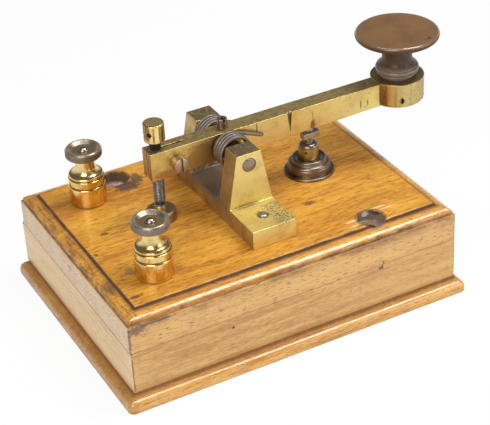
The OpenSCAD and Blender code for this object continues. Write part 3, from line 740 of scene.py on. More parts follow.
@dataclass(frozen=True)
class OldBrass:
    """Satin brass with filed lines, brown clouds and dark specks; its upward faces are painted darker as shade,
    and its left faces browner as a painted reflection of the wood.
    """

    bright: Colour = (0.84, 0.64, 0.22)
    brown: Colour = (0.6, 0.4, 0.13)
    shaded_top: Colour = (0.3, 0.21, 0.09)
    left_reflection: Colour = (0.32, 0.18, 0.1)
    speck: Colour = (0.06, 0.04, 0.02)
    top_shade_share: float = 0.8
    left_reflection_share: float = 0.7
    shade_from: float = 60.0
    rough: float = 0.4
    metal: float = 1.0

    def paint(self, name: str, marks: Sequence[Mark] = (),
              pits: Callable[[Coat], Value] | None = None) -> bpy.types.Material:
        """Makes the material.

        Args:
            name: Its name.
            marks: Stains on it, painted reflection bands and painted shade.
            pits: Gives where corrosion pits are thick.

        Returns:
            The material.
        """
        coat = Coat(name)
        cloud = coat.noise((0.09, 0.11, 0.11), 4.0, 0.6)
        mottle = coat.noise((0.8, 0.8, 0.8), 3.0, 0.65)
        filed = coat.noise((0.08, 3.0, 3.0), 2.0)
        specks = coat.noise((1.5, 1.5, 1.5), 2.0).rise(0.66, 0.72)
        if pits:
            pitted = coat.noise((1.7, 1.7, 1.7), 2.0).rise(0.48, 0.56)
            specks = specks.most(pits(coat) * pitted).held()
        # Upward faces above shade_from get painted shade and a duller, less metallic finish; left faces get a
        # painted brown reflection of the wood.
        high = coat.z.rise(self.shade_from - 1, self.shade_from + 1)
        top = coat.attribute("up").rise(0.75, 0.97) * high
        left = coat.attribute("left").rise(0.55, 0.9)
        colour = coat.blend(cloud.rise(0.42, 0.7) * 0.7, self.bright, self.brown)
        colour = coat.blend((left * (self.left_reflection_share + (cloud - 0.5))).held(), colour, self.left_reflection)
        colour = coat.blend((top * (self.top_shade_share + (mottle - 0.5) * 1.5)).held(), colour, self.shaded_top)
        colour = coat.marked(colour, marks, mottle)
        colour = coat.blend(specks * 0.85, colour, self.speck)
        return coat.close({
            "Base Color": colour,
            "Metallic": (self.metal - specks * 0.9 - top * 0.2).held(),
            "Specular IOR Level": 0.2,
            "Roughness": self.rough + (cloud - 0.5) * 0.3 + (filed - 0.5) * 0.12 + specks * 0.3 + top * 0.08,
            "Normal": coat.bump(filed * 0.4 + mottle * 0.3 - specks, 0.04, 0.6),
        })


@dataclass(frozen=True)
class HeightBand:
    """A stretch of a turned piece, used for dull metal, painted shade and a painted highlight: its levels,
    colour, roughness and share.
    """

    low: float
    high: float
    colour: Colour
    rough: float = 0.4
    share: float = 1.0
    soft: float = 0.25

    def where(self, coat: Coat) -> Value:
        """Is 1 between the two levels and falls softly to 0 past them."""
        above = coat.z.rise(self.low - self.soft, self.low + self.soft)
        return above * coat.z.rise(self.high + self.soft, self.high - self.soft)


@dataclass(frozen=True)
class TurnedMetal:
    """Metal turned on a lathe, with fine rings round it and a brown bloom."""

    bright: Colour = (0.8, 0.52, 0.15)
    bloom: Colour = (0.5, 0.25, 0.05)
    rough: float = 0.2
    bloom_share: float = 0.6
    along: Along = Along.Z
    speck: Colour = (0.07, 0.045, 0.025)

    def paint(self, name: str, height_bands: Sequence[HeightBand] = (),
              marks: Sequence[Mark] = ()) -> bpy.types.Material:
        """Makes the material.

        Args:
            name: Its name.
            height_bands: Stretches by height with their own colour: dull metal, painted shade and painted
                highlights.
            marks: Stains on it, painted shade in holes and painted reflection bands.

        Returns:
            The material.
        """
        coat = Coat(name)
        rings = coat.noise((0.03, 0.03, 7.0) if self.along is Along.Z else (0.03, 7.0, 0.03), 2.0)
        cloud = coat.noise((0.2, 0.2, 0.2), 4.0, 0.6)
        specks = coat.noise((1.6, 1.6, 1.6), 2.0).rise(0.67, 0.74)
        colour = coat.blend(cloud.rise(0.4, 0.68) * self.bloom_share, self.bright, self.bloom)
        rough = self.rough + (cloud - 0.5) * 0.2 + (rings - 0.5) * 0.1
        metallic = 1.0 - specks * 0.5
        for height_band in height_bands:
            where = height_band.where(coat) * (height_band.share + (cloud - 0.5) * 0.5).held()
            colour = coat.blend(where, colour, height_band.colour)
            rough = rough * (1 - where) + where * height_band.rough
            metallic = metallic - where * 0.12
        for mark in marks:
            where = coat.spot(mark.centre, mark.radii, cloud) * mark.strength
            colour = coat.blend(where, colour, mark.colour)
            rough = rough + where * mark.rough
        colour = coat.blend(specks * 0.7, colour, self.speck)
        return coat.close({
            "Base Color": colour,
            "Metallic": metallic,
            "Roughness": rough + specks * 0.25,
            "Normal": coat.bump(rings * 0.4 - specks * 0.6, 0.02, 0.5),
        })


@dataclass(frozen=True)
class BrownRubber:
    """Polished hard rubber gone brown, redder on the top than in the cove."""

    crown: Colour = (0.2, 0.1, 0.036)
    side: Colour = (0.068, 0.036, 0.018)
    dust: Colour = (0.16, 0.12, 0.085)
    crown_z: float = 96.0
    bead_drop: float = 14.1

    def paint(self, name: str, marks: Sequence[Mark] = ()) -> bpy.types.Material:
        """Makes the material.

        Args:
            name: Its name.
            marks: Chips and stains on it.

        Returns:
            The material.
        """
        coat = Coat(name)
        cloud = coat.noise((0.08, 0.08, 0.08), 4.0, 0.6)
        fine = coat.noise((1.2, 1.2, 1.2), 3.0)
        scratch = coat.noise((0.15, 2.2, 0.8), 2.0)
        top = coat.z.rise(self.crown_z - 0.6, self.crown_z + 0.2)
        rim = coat.z.rise(self.crown_z - 0.4, self.crown_z + 0.1)
        rim = rim * coat.z.rise(self.crown_z + 0.76, self.crown_z + 0.6)
        bead_z = self.crown_z - self.bead_drop
        bead = coat.z.rise(bead_z + 0.5, bead_z - 0.5)
        colour = coat.blend(bead * 0.9, self.side, tuple(c * 1.35 for c in self.dust))
        colour = coat.blend(top, colour, self.crown)
        colour = coat.blend(cloud.rise(0.42, 0.7) * 0.5, colour, tuple(c * 0.55 for c in self.crown))
        colour = coat.blend(fine.rise(0.52, 0.72) * 0.35, colour, self.dust)
        colour = coat.marked(colour, marks, fine)
        return coat.close({
            "Base Color": colour,
            "Roughness": 0.36 + (cloud - 0.5) * 0.3 + fine * 0.12,
            "Specular IOR Level": 0.3,
            "Coat Weight": (0.04 + rim * 0.96 + bead * 0.5).held(),
            "Coat Roughness": 0.06,
            "Coat IOR": 1.7,
            "Normal": coat.bump(scratch * 0.3 + fine * 0.3, 0.03, 0.5),
        })


DARK_STEEL = TurnedMetal((0.24, 0.2, 0.165), (0.13, 0.1, 0.075), 0.42, 0.7)
GREY_STEEL = TurnedMetal((0.36, 0.35, 0.33), (0.2, 0.18, 0.16), 0.33, 0.6)
WARM_STEEL = TurnedMetal((0.34, 0.27, 0.21), (0.19, 0.14, 0.105), 0.36, 0.7)
SILVER = TurnedMetal((0.46, 0.46, 0.45), (0.27, 0.26, 0.24), 0.3, 0.7)
BRIGHT_BRASS = TurnedMetal((0.84, 0.61, 0.23), (0.55, 0.32, 0.085), 0.14, 0.6)
SATIN_BRASS = TurnedMetal((0.84, 0.64, 0.28), (0.55, 0.35, 0.12), 0.24, 0.6)
DARK_BRASS = TurnedMetal((0.25, 0.19, 0.145), (0.14, 0.1, 0.075), 0.32, 0.7)
OLD_BRASS = OldBrass((0.78, 0.61, 0.22))
RAIL_DIRT_AND_SHADE = (0.3, 0.13, 0.035)
SIDE_TONE = (0.69, 0.415, 0.157)
END_TONE = (0.72, 0.525, 0.315)
TOP_WOOD = HoneyWood((0.79, 0.405, 0.056), (0.655, 0.296, 0.033), (0.41, 0.142, 0.013), fleck=0.75)
PLINTH_WOOD = HoneyWood((0.75, 0.415, 0.1), (0.63, 0.32, 0.064), (0.42, 0.17, 0.028),
                        dirt_and_shade=(0.24, 0.09, 0.02), polish_rough=0.22)
SIDE_WOOD = HoneyWood((0.73, 0.45, 0.172), (0.63, 0.366, 0.128), (0.47, 0.235, 0.08),
                      gloss=0.15, fleck=0.45, dirt_and_shade=RAIL_DIRT_AND_SHADE)
END_WOOD = HoneyWood((0.86, 0.625, 0.35), (0.775, 0.535, 0.275), (0.62, 0.395, 0.18), Along.Y,
                     gloss=0.15, fleck=0.3, dirt_and_shade=RAIL_DIRT_AND_SHADE)


# Geometry Nodes trees


class Recipe(Graph):
    """A Geometry Nodes tree with named inputs, made into plain meshes."""

    def __init__(self, name: str) -> None:
        """Starts a tree with its geometry sockets."""
        super().__init__(bpy.data.node_groups.new(name, "GeometryNodeTree"))
        self.tree.interface.new_socket("Geometry", in_out="INPUT", socket_type="NodeSocketGeometry")
        self.tree.interface.new_socket("Geometry", in_out="OUTPUT", socket_type="NodeSocketGeometry")
        self.source = self.node("NodeGroupInput")
        self.keys: dict[str, str] = {}

    def ask(self, name: str, kind: str) -> bpy.types.NodeSocket:
        """Adds a named input.

        Args:
            name: Its name.
            kind: Its socket's type.

        Returns:
            Its socket.
        """
        item = self.tree.interface.new_socket(name, in_out="INPUT", socket_type=kind)
        self.keys[name] = item.identifier
        return self.source.outputs[name]

    def serve(self, shape: bpy.types.NodeSocket) -> None:
        """Ends the tree with real geometry and its material.

        Args:
            shape: The geometry.
        """
        paint = self.ask("Material", "NodeSocketMaterial")
        real = self.node("GeometryNodeRealizeInstances", {}, {0: shape})
        dressed = self.node("GeometryNodeSetMaterial", {}, {"Geometry": real.outputs[0], "Material": paint})
        self.node("NodeGroupOutput", {}, {0: dressed.outputs[0]})

    def tube(self, curve: bpy.types.NodeSocket, radius: bpy.types.NodeSocket,
             sides: bpy.types.NodeSocket | int) -> bpy.types.NodeSocket:
        """Draws a round, smooth tube with closed ends along a curve.

        Args:
            curve: The curve.
            radius: The tube's radius.
            sides: Points round it.

        Returns:
            The tube.
        """
        profile = self.node("GeometryNodeCurvePrimitiveCircle", {"mode": "RADIUS"},
                            {"Resolution": sides, "Radius": radius})
        tube = self.node("GeometryNodeCurveToMesh", {},
                         {"Curve": curve, "Profile Curve": profile.outputs[0], "Fill Caps": True})
        return self.node("GeometryNodeSetShadeSmooth", {}, {0: tube.outputs[0]}).outputs[0]

    def make(self, name: str, values: dict[str, object], curve: bpy.types.Curve | None = None
             ) -> bpy.types.Object:
        """Runs the tree once.

        Args:
            name: The new piece's name.
            values: Values of the named inputs.
            curve: The path that the tree follows, if it follows one.

        Returns:
            An object with a plain mesh.
        """
        carrier = bpy.data.objects.new(name + "_source", curve or bpy.data.meshes.new(name + "_source"))
        bpy.context.scene.collection.objects.link(carrier)
        step = carrier.modifiers.new("tree", "NODES")
        step.node_group = self.tree
        for key, value in values.items():
            step[self.keys[key]] = value
        graph = bpy.context.evaluated_depsgraph_get()
        graph.update()
        mesh = bpy.data.meshes.new_from_object(carrier.evaluated_get(graph), depsgraph=graph)
        mesh.name = name
        bpy.data.objects.remove(carrier)
        thing = bpy.data.objects.new(name, mesh)
        bpy.context.scene.collection.objects.link(thing)
        return thing


def wire_recipe() -> Recipe:
    """Builds the tree that draws a round wire along a path.

    Returns:
        The tree.
    """
    tree = Recipe("round_wire")
    radius = tree.ask("Wire radius", "NodeSocketFloat")
    sides = tree.ask("Sides", "NodeSocketInt")
    tree.serve(tree.tube(tree.source.outputs[0], radius, sides))
    return tree


def thread_recipe() -> Recipe:
    """Builds the tree that winds a screw thread's ridge.

    Returns:
        The tree.
    """
    turn_steps, ridge_sides = 24, 6
    tree = Recipe("screw_thread")
    radius = tree.ask("Thread radius", "NodeSocketFloat")
    height = tree.ask("Height", "NodeSocketFloat")
    turns = tree.ask("Turns", "NodeSocketFloat")
    ridge = tree.ask("Ridge radius", "NodeSocketFloat")
    foot = tree.ask("Foot", "NodeSocketVector")
    spiral = tree.node("GeometryNodeCurveSpiral", {}, {
        "Resolution": turn_steps, "Rotations": turns, "Start Radius": radius, "End Radius": radius,
        "Height": height,
    })
    tube = tree.tube(spiral.outputs[0], ridge, ridge_sides)
    moved = tree.node("GeometryNodeTransform", {}, {"Geometry": tube, "Translation": foot})
    tree.serve(moved.outputs[0])
    return tree


def knurl_recipe() -> Recipe:
    """Builds the tree that stands small ridges in a ring.

    Returns:
        The tree.
    """
    ridge_sides = 6
    tree = Recipe("knurled_edge")
    count = tree.ask("Ridges", "NodeSocketInt")
    radius = tree.ask("Ring radius", "NodeSocketFloat")
    height = tree.ask("Ridge height", "NodeSocketFloat")
    width = tree.ask("Ridge radius", "NodeSocketFloat")
    middle = tree.ask("Middle", "NodeSocketVector")
    ring = tree.node("GeometryNodeMeshCircle", {}, {"Vertices": count, "Radius": radius})
    ridge = tree.node("GeometryNodeMeshCylinder", {"fill_type": "NGON"},
                      {"Vertices": ridge_sides, "Radius": width, "Depth": height})
    stood = tree.node("GeometryNodeInstanceOnPoints", {},
                      {"Points": ring.outputs[0], "Instance": ridge.outputs[0]})
    moved = tree.node("GeometryNodeTransform", {}, {"Geometry": stood.outputs[0], "Translation": middle})
    tree.serve(moved.outputs[0])
    return tree


# Sub-assemblies


@dataclass
class WoodenBox:
    """The moulded top board, four mitred rails and the plinth, with the screws that hold them."""

    half_l: float = 75.0
    half_w: float = 55.0
    back_out: float = 1.6
    plinth_t: float = 7.0
    plinth_out: float = 4.0
    plinth_corner: float = 2.5
    rail_top: float = 26.0
    rail_t: float = 8.0
    top: float = 42.5
    moulding_w: float = 6.2
    moulding_h: float = 4.5
    quirk_h: float = 1.3
    step: float = 0.8
    sink_r: float = 5.8
    sink_depth: float = 5.0
    hole_r: float = 2.1
    fixings: tuple[Point, Point] = ((40.5, -44.0), (-35.5, 42.0))
    nose_z: float = 4.9
    cove_h: float = 1.8
    foot_round: float = 0.6
    screw_places: tuple[Point, ...] = ((-56.0, -50.2), (-56.0, 51.8), (56.0, -50.2), (56.0, 51.8))
    screw_r: float = 1.83
    screw_head_r: float = 3.53

    def build(self) -> None:
        """Builds and dresses the box."""
        self.top_board()
        self.plinth()
        self.rails()
        dress_node("box_screws", DARK_STEEL.paint("screw_steel"))

    def swept(self, profile: Sequence[Point], half_l: float, half_w: float, corner: float) -> Blank:
        """Sweeps a profile round a rectangle.

        Args:
            profile: Distance in from the edge and height, from the underside to the top.
            half_l: Half the rectangle's length.
            half_w: Half its width.
            corner: Radius of its corners at the edge.

        Returns:
            The closed blank.
        """
        blank = Blank()
        rings = []
        for inset, height in profile:
            r = max(corner - inset, 0.45)
            cx, cy = half_l - inset - r, half_w - inset - r
            loop: list[Place] = []
            for sx, sy, start in ((1, 1, 0), (-1, 1, 90), (-1, -1, 180), (1, -1, 270)):
                loop.extend((x, y, height) for x, y in arc((sx * cx, sy * cy), r, r, start, start + 90, 6))
            rings.append(blank.ring(loop))
        return blank.lofted(rings)

    def top_board(self) -> None:
        """Builds the top board with its quirk, ovolo and sunk holes."""
        shelf = self.top - self.moulding_h
        quirk = self.top - self.quirk_h
        profile = [
            (0.0, self.rail_top), (0.0, shelf), (self.step, shelf),
            *arc((self.moulding_w, shelf + self.step), self.moulding_w - self.step,
                 quirk - shelf - self.step, 180, 90, 14),
            (self.moulding_w, self.top), (self.moulding_w + 4, self.top),
        ]
        board = FORGE.rough("top_board_wood", self.swept(eased(profile, 0.45), self.half_l, self.half_w, 0.6))
        FORGE.cut(board, [self.sink(x, y) for x, y in self.fixings])
        FORGE.finish(board)
        place_piece(board, "base", self.top_paint(), "top_board")

    def sink(self, x: float, y: float) -> Blank:
        """Makes the cutter for a sunk hole with a ragged rim.

        Args:
            x: The hole's place along the board.
            y: The hole's place across it.

        Returns:
            The cutter.
        """
        bottom = self.top - self.sink_depth
        cutter = Blank().turned(
            [(0, bottom - 9), (self.hole_r, bottom - 9), (self.hole_r, bottom),
             *arc((self.sink_r - 1, bottom + 1), 1, 1, -90, 0, 4),
             (self.sink_r, self.top - 0.4), (self.sink_r + 0.4, self.top),
             (self.sink_r + 0.4, self.top + 2), (0, self.top + 2)],
            (0, 0, 0), Along.Z, 96)
        for point in cutter.points:
            a = math.atan2(point.y, point.x)
            if point.xy.length > self.hole_r + 0.5:
                broad = 0.035 * math.sin(3 * a + x)
                point.xy *= 1 + broad + 0.03 * math.sin(7 * a + y) + 0.02 * math.sin(13 * a)
            point.xy += Vector((x, y))
        return cutter

    def from_hole(self, coat: Coat, hole: Point) -> Value:
        """Gives how far a point is from a hole's axis: the square, in units of the sink's radius."""
        off_x, off_y = coat.x - hole[0], coat.y - hole[1]
        return (off_x * off_x + off_y * off_y) / self.sink_r

    def inset(self, coat: Coat, spread: float = 0.0) -> Value:
        """Gives how far a point lies in from the box's edge, or from one so much farther out."""
        return (self.half_l + spread - abs(coat.x)).least(self.half_w + spread - abs(coat.y))

    def top_paint(self) -> bpy.types.Material:
        """Makes the top board's material with dirt and painted shade in its quirk, stains, dents and painted
        highlights.

        Returns:
            The material.
        """
        shelf_z = self.top - self.moulding_h

        def darkening(coat: Coat) -> Value:
            """Gives the dirt and painted shade in the quirk and the corner under the ovolo, and the dirt under
            the moulding, in the seam and round the holes.
            """
            inset = self.inset(coat)
            patchy = coat.noise((0.12, 0.12, 0.3), 3.0)
            left = coat.x.rise(-self.half_l + 9, -self.half_l + 5)
            right = coat.x.rise(self.half_l - 9, self.half_l - 5)
            # The quirk is darkened as dirt and as painted shade in its narrow corner.
            quirk = inset.near(self.moulding_w - 0.1, 0.65) * (0.75 + patchy.rise(0.4, 0.6) * 0.5)
            smear = inset.near(self.moulding_w - 0.6, 1.5) * coat.z.rise(self.top - 0.3, self.top - 0.6)
            quirk = quirk + inset.near(self.moulding_w + 0.2, 1.1) * right
            quirk = quirk + smear * (0.25 + patchy.rise(0.38, 0.6) * 0.35)
            streaky = coat.noise((0.8, 0.12, 0.8), 3.0, 0.65).rise(0.49, 0.6)
            worn = streaky * left * inset.rise(self.moulding_w, self.moulding_w - 0.7)
            worn = worn * coat.z.rise(shelf_z, shelf_z + 0.4)
            # The corner under the ovolo is darkened as dirt and as painted shade.
            shelf = inset.near(self.step, 0.7) * coat.z.rise(shelf_z - 0.5, shelf_z - 0.1)
            seam = coat.z.near(self.rail_top, 0.36) * (0.5 + left * 0.5)
            under = coat.z.rise(shelf_z - 4.5, shelf_z - 0.3) * coat.z.rise(shelf_z + 0.8, shelf_z)
            stained = under * (0.12 + patchy.rise(0.42, 0.58) * 0.4)
            dirt_and_shade = quirk.most(shelf * (0.45 + patchy.rise(0.4, 0.6) * 0.5)).most(seam).most(worn * 0.6)
            dirt_and_shade = dirt_and_shade.most(stained * (1 - left))
            for hole in self.fixings:
                rim = self.from_hole(coat, hole).near(self.sink_r + 0.9, 1.3)
                dirt_and_shade = dirt_and_shade.most(rim * coat.z.rise(self.top - 0.9, self.top - 0.4) * 0.7)
            return dirt_and_shade

        def edge(coat: Coat) -> Value:
            """Gives where the front edge beside the quirk is rubbed pale, which also paints a highlight along
            it.
            """
            line = coat.y.near(self.moulding_w + 0.35 - self.half_w, 0.55)
            line = line * coat.z.rise(self.top - 0.6, self.top - 0.2)
            return line * coat.noise((0.15, 1.0, 1.0), 3.0).rise(0.36, 0.56)

        def sunk(hole: Point) -> Callable[[Coat], Value]:
            """Gives the rule for a hole's inside."""

            def inside(coat: Coat) -> Value:
                """Gives where the wood is the inside of the hole."""
                near = self.from_hole(coat, hole).rise(self.sink_r + 1.9, self.sink_r + 1.2)
                near = near * coat.z.rise(self.top - 0.1, self.top - 0.5)
                return near * coat.z.rise(self.rail_top, self.rail_top + 2)

            return inside

        def side(coat: Coat) -> Value:
            """Gives where the board's upright sides are."""
            return coat.z.rise(shelf_z + 0.3, shelf_z - 0.5)

        def end(coat: Coat) -> Value:
            """Gives where the board's two ends are."""
            return side(coat) * abs(coat.x).rise(self.half_l - 0.5, self.half_l - 0.1)

        def ovolo(coat: Coat) -> Value:
            """Gives where the round moulding is, which keeps its polish."""
            round_part = self.inset(coat).rise(self.moulding_w, self.moulding_w - 0.6)
            return round_part * coat.z.rise(shelf_z, shelf_z + 0.6)

        top = self.top
        brown, purple, brown_patch = (0.12, 0.05, 0.018), (0.1, 0.05, 0.035), (0.2, 0.1, 0.05)
        scuff, pale_grey, dark_grey = (0.82, 0.66, 0.44), (0.62, 0.52, 0.46), (0.22, 0.195, 0.18)
        dark_patch, chip, nick = (0.06, 0.042, 0.04), (0.5, 0.22, 0.06), (0.3, 0.2, 0.13)
        front, back = self.fixings
        grey_brown, rubbed_highlight = (0.2, 0.145, 0.125), (0.95, 0.6, 0.22)
        tinted_regions = ((side, SIDE_TONE), (end, END_TONE), (sunk(front), dark_grey), (sunk(back), grey_brown),
                 (edge, rubbed_highlight))
        return TOP_WOOD.paint("top_board_wood", darkening, tinted_regions, (
            Mark((24.9, -20.8, top), (3.2, 1.6, 2), brown, 0.75),
            Mark((-57.7, 4.3, top), (2.2, 1.3, 2), brown, 0.75),
            Mark((-53.6, 2.5, top), (2.4, 0.8, 2), brown, 0.45),
            Mark((-66.9, -8.0, top), (1.0, 0.8, 1), brown, 0.85),
            Mark((-65.6, -43.0, top), (3.2, 1.1, 2), purple, 0.85),
            Mark((-33.5, 33.6, top), (6.6, 4.2, 2), dark_patch, 0.85),
            Mark((-27.6, 37.6, top), (3.0, 4.2, 2), dark_patch, 0.75),
            Mark((32.6, -42.6, top), (3.4, 0.7, 1), scuff, 0.7),
            Mark((31.6, -46.2, top), (2.8, 0.8, 1), scuff, 0.6),
            Mark((47.6, -38.8, top), (4.2, 0.6, 1), scuff, 0.75),
            Mark((50.2, -41.0, top), (4.0, 0.6, 1), scuff, 0.7),
            Mark((38.6, -50.0, top), (5.0, 1.5, 1), brown_patch, 0.6),
            Mark((43.8, -52.1, 40.6), (1.6, 1.2, 1.5), nick, 0.7),
            Mark((-54.2, -54.1, 40.0), (0.9, 1.0, 1.2), nick, 0.7),
            Mark((-51.1, -53.7, 40.2), (0.7, 1.0, 1.2), nick, 0.7),
            Mark((-34.1, -49.8, 41.2), (0.9, 0.9, 1.0), nick, 0.7),
            Mark((39.7, -55.0, 26.8), (0.6, 1.0, 1.3), brown, 0.7),
            Mark((self.half_l, -self.half_w, 32.0), (0.7, 0.7, 9.0), purple, 0.75),
            Mark((-64.0, -55.0, 37.7), (9.5, 1.0, 0.9), purple, 0.75),
            Mark((-60.2, -26.0, top), (2.4, 3.6, 1), brown_patch, 0.55),
            Mark((-42.6, -34.6, top), (2.8, 2.2, 1), brown_patch, 0.55),
            Mark((-71.4, -55.0, 36.4), (4.6, 1.5, 2.6), purple, 0.75),
            Mark((-self.half_l, 2.3, 33.7), (1.0, 2.4, 1.5), brown_patch, 0.5),
            Mark((-self.half_l, -self.half_w, 32.0), (1.0, 1.0, 8.0), purple, 0.7),
            Mark((-71.0, -30.0, top - 2), (2.0, 6.0, 3), purple, 0.5),
            # Painted highlight on the far wall of the front hole.
            Mark((front[0] + 0.6, front[1] + 5.6, top - 2.0), (1.7, 2.0, 1.5), (0.8, 0.74, 0.68), 0.85),
            Mark((front[0] + 4.4, front[1] + 3.8, top - 1.0), (2.4, 2.4, 1.2), (0.05, 0.04, 0.035), 0.8),
            Mark((front[0] - 2.6, front[1] - 5.4, top), (3.6, 1.3, 1.0), chip, 0.8),
            Mark((*back, top - 5.0), (5.4, 5.4, 1.0), pale_grey, 0.9),
        ), ovolo)

    def plinth(self) -> None:
        """Builds the plinth with its round nose and the cove over it."""
        nose_z, foot, cove_in = self.nose_z, self.foot_round, 1.6
        profile = [
            (6.0, 0.0), *arc((foot, foot), foot, foot, 270, 180, 6),
            *arc((3.0, 1.9), 3.0, nose_z - 1.7, 180, 106, 14),
            *arc((cove_in, self.plinth_t), self.plinth_out - cove_in, self.cove_h, 285, 356, 10),
            (7.0, self.plinth_t),
        ]
        half_l = self.half_l + self.plinth_out
        half_w = self.half_w + self.plinth_out
        board = FORGE.rough("plinth_wood", self.swept(profile, half_l, half_w, self.plinth_corner))
        past = self.plinth_t + 2
        sunk_screw = [(0, -2), (self.screw_head_r, -2), (self.screw_head_r, 0.7), (self.screw_r, 2.4),
                      (self.screw_r, past), (0, past)]
        holes = [Blank().turned(rod(self.hole_r, -2, past), (x, y, 0), Along.Z, 48) for x, y in self.fixings]
        heads = [Blank().turned(sunk_screw, (x, y, 0), Along.Z, 48) for x, y in self.screw_places]
        FORGE.cut(board, holes + heads)
        FORGE.finish(board)

        def darkening(coat: Coat) -> Value:
            """Gives the painted shade and dirt next to the rails, a darker cove and left end, and a painted
            shadow line along the foot.
            """
            inset = self.inset(coat, self.plinth_out)
            corner = inset.rise(self.plinth_out - 1.2, self.plinth_out - 0.2)
            cove = inset.rise(2.0, 2.6) * 0.55
            left = coat.x.rise(1 - self.half_l, -1 - self.half_l) * 0.3
            # Painted shadow line along the foot.
            foot = coat.z.rise(0.9, 0.1) * 0.5
            return (corner.most(cove) * coat.z.rise(nose_z - 0.3, nose_z + 0.8)).most(left).most(foot)

        def nose(coat: Coat) -> Value:
            """Gives where the round nose is, which keeps its polish."""
            return coat.z.rise(1.0, 2.5) * coat.z.rise(nose_z + 0.3, nose_z)

        paint = PLINTH_WOOD.paint("plinth_wood", darkening, shine=nose)
        place_piece(board, "base", paint, "plinth_board")

    def rails(self) -> None:
        """Builds the four mitred rails."""
        round_r = 0.6
        far = self.half_w + self.back_out
        corners = {
            "front": ((-self.half_l, -self.half_w), (self.half_l, -self.half_w)),
            "right": ((self.half_l, -self.half_w), (self.half_l, far)),
            "back": ((self.half_l, far), (-self.half_l, far)),
            "left": ((-self.half_l, far), (-self.half_l, -self.half_w)),
        }
        nail_hole, brown_patch = (0.05, 0.03, 0.02), (0.5, 0.28, 0.1)
        mitre_dirt, scratch = (0.12, 0.06, 0.03), (0.1, 0.05, 0.02)
        paints = {
            "front": SIDE_WOOD.paint("side_rail_wood", self.rail_darkening, (), (
                Mark((-30.4, -self.half_w, 21.4), (0.7, 1.5, 0.7), nail_hole, 0.95),
                Mark((-60.0, -self.half_w, 14.0), (9.0, 1.5, 3.0), brown_patch, 0.4),
                Mark((-self.half_l, -self.half_w, 16.0), (1.0, 1.0, 12.0), mitre_dirt, 0.7),
                Mark((self.half_l, -self.half_w, 16.0), (0.7, 0.7, 12.0), mitre_dirt, 0.75),
                Mark((39.1, -self.half_w, 25.0), (0.6, 1.0, 1.6), scratch, 0.85),
                Mark((38.0, -self.half_w, 24.5), (0.8, 1.0, 0.8), scratch, 0.8),
            )),
            "left": END_WOOD.paint("end_rail_wood", self.rail_darkening),
        }
        for name, (first, last) in corners.items():
            run = (Vector(last) - Vector(first)).normalized()
            inward = Vector((-run.y, run.x))
            outline: list[Vector] = []
            nick = round_r * (1 - math.sqrt(0.5))
            for end, way in ((Vector(first), run), (Vector(last), -run)):
                curve = [end + way * nick + inward * nick,
                         end + way * round_r * 0.45 + inward * 0.09 * round_r, end + way * round_r]
                inner = end + (way + inward) * self.rail_t
                outline.extend([inner, *curve] if way == run else [*reversed(curve), inner])
            blank = Blank().prism([tuple(p) for p in outline], self.plinth_t, self.rail_top, Along.Z)
            rail = FORGE.finish(FORGE.rough(f"{name}_rail_wood", blank))
            paint = paints["front" if name in ("front", "back") else "left"]
            place_piece(rail, "base", paint, f"{name}_rail")

    def rail_darkening(self, coat: Coat) -> Value:
        """Gives the dirt along the seams above and below the rails, with painted shade where the rails stand on
        the plinth.

        Args:
            coat: The rails' material.

        Returns:
            How dark the dirt and painted shade are.
        """
        seam = coat.z.near(self.rail_top, 0.4) * (0.6 + coat.x.rise(5 - self.half_l, -self.half_l) * 0.5)
        # Painted shade where the rail stands on the plinth.
        low = coat.z.rise(self.plinth_t + 0.9, self.plinth_t) * 0.9
        return seam.most(low).most(coat.z.rise(self.plinth_t + 2.8, self.plinth_t) * 0.4)


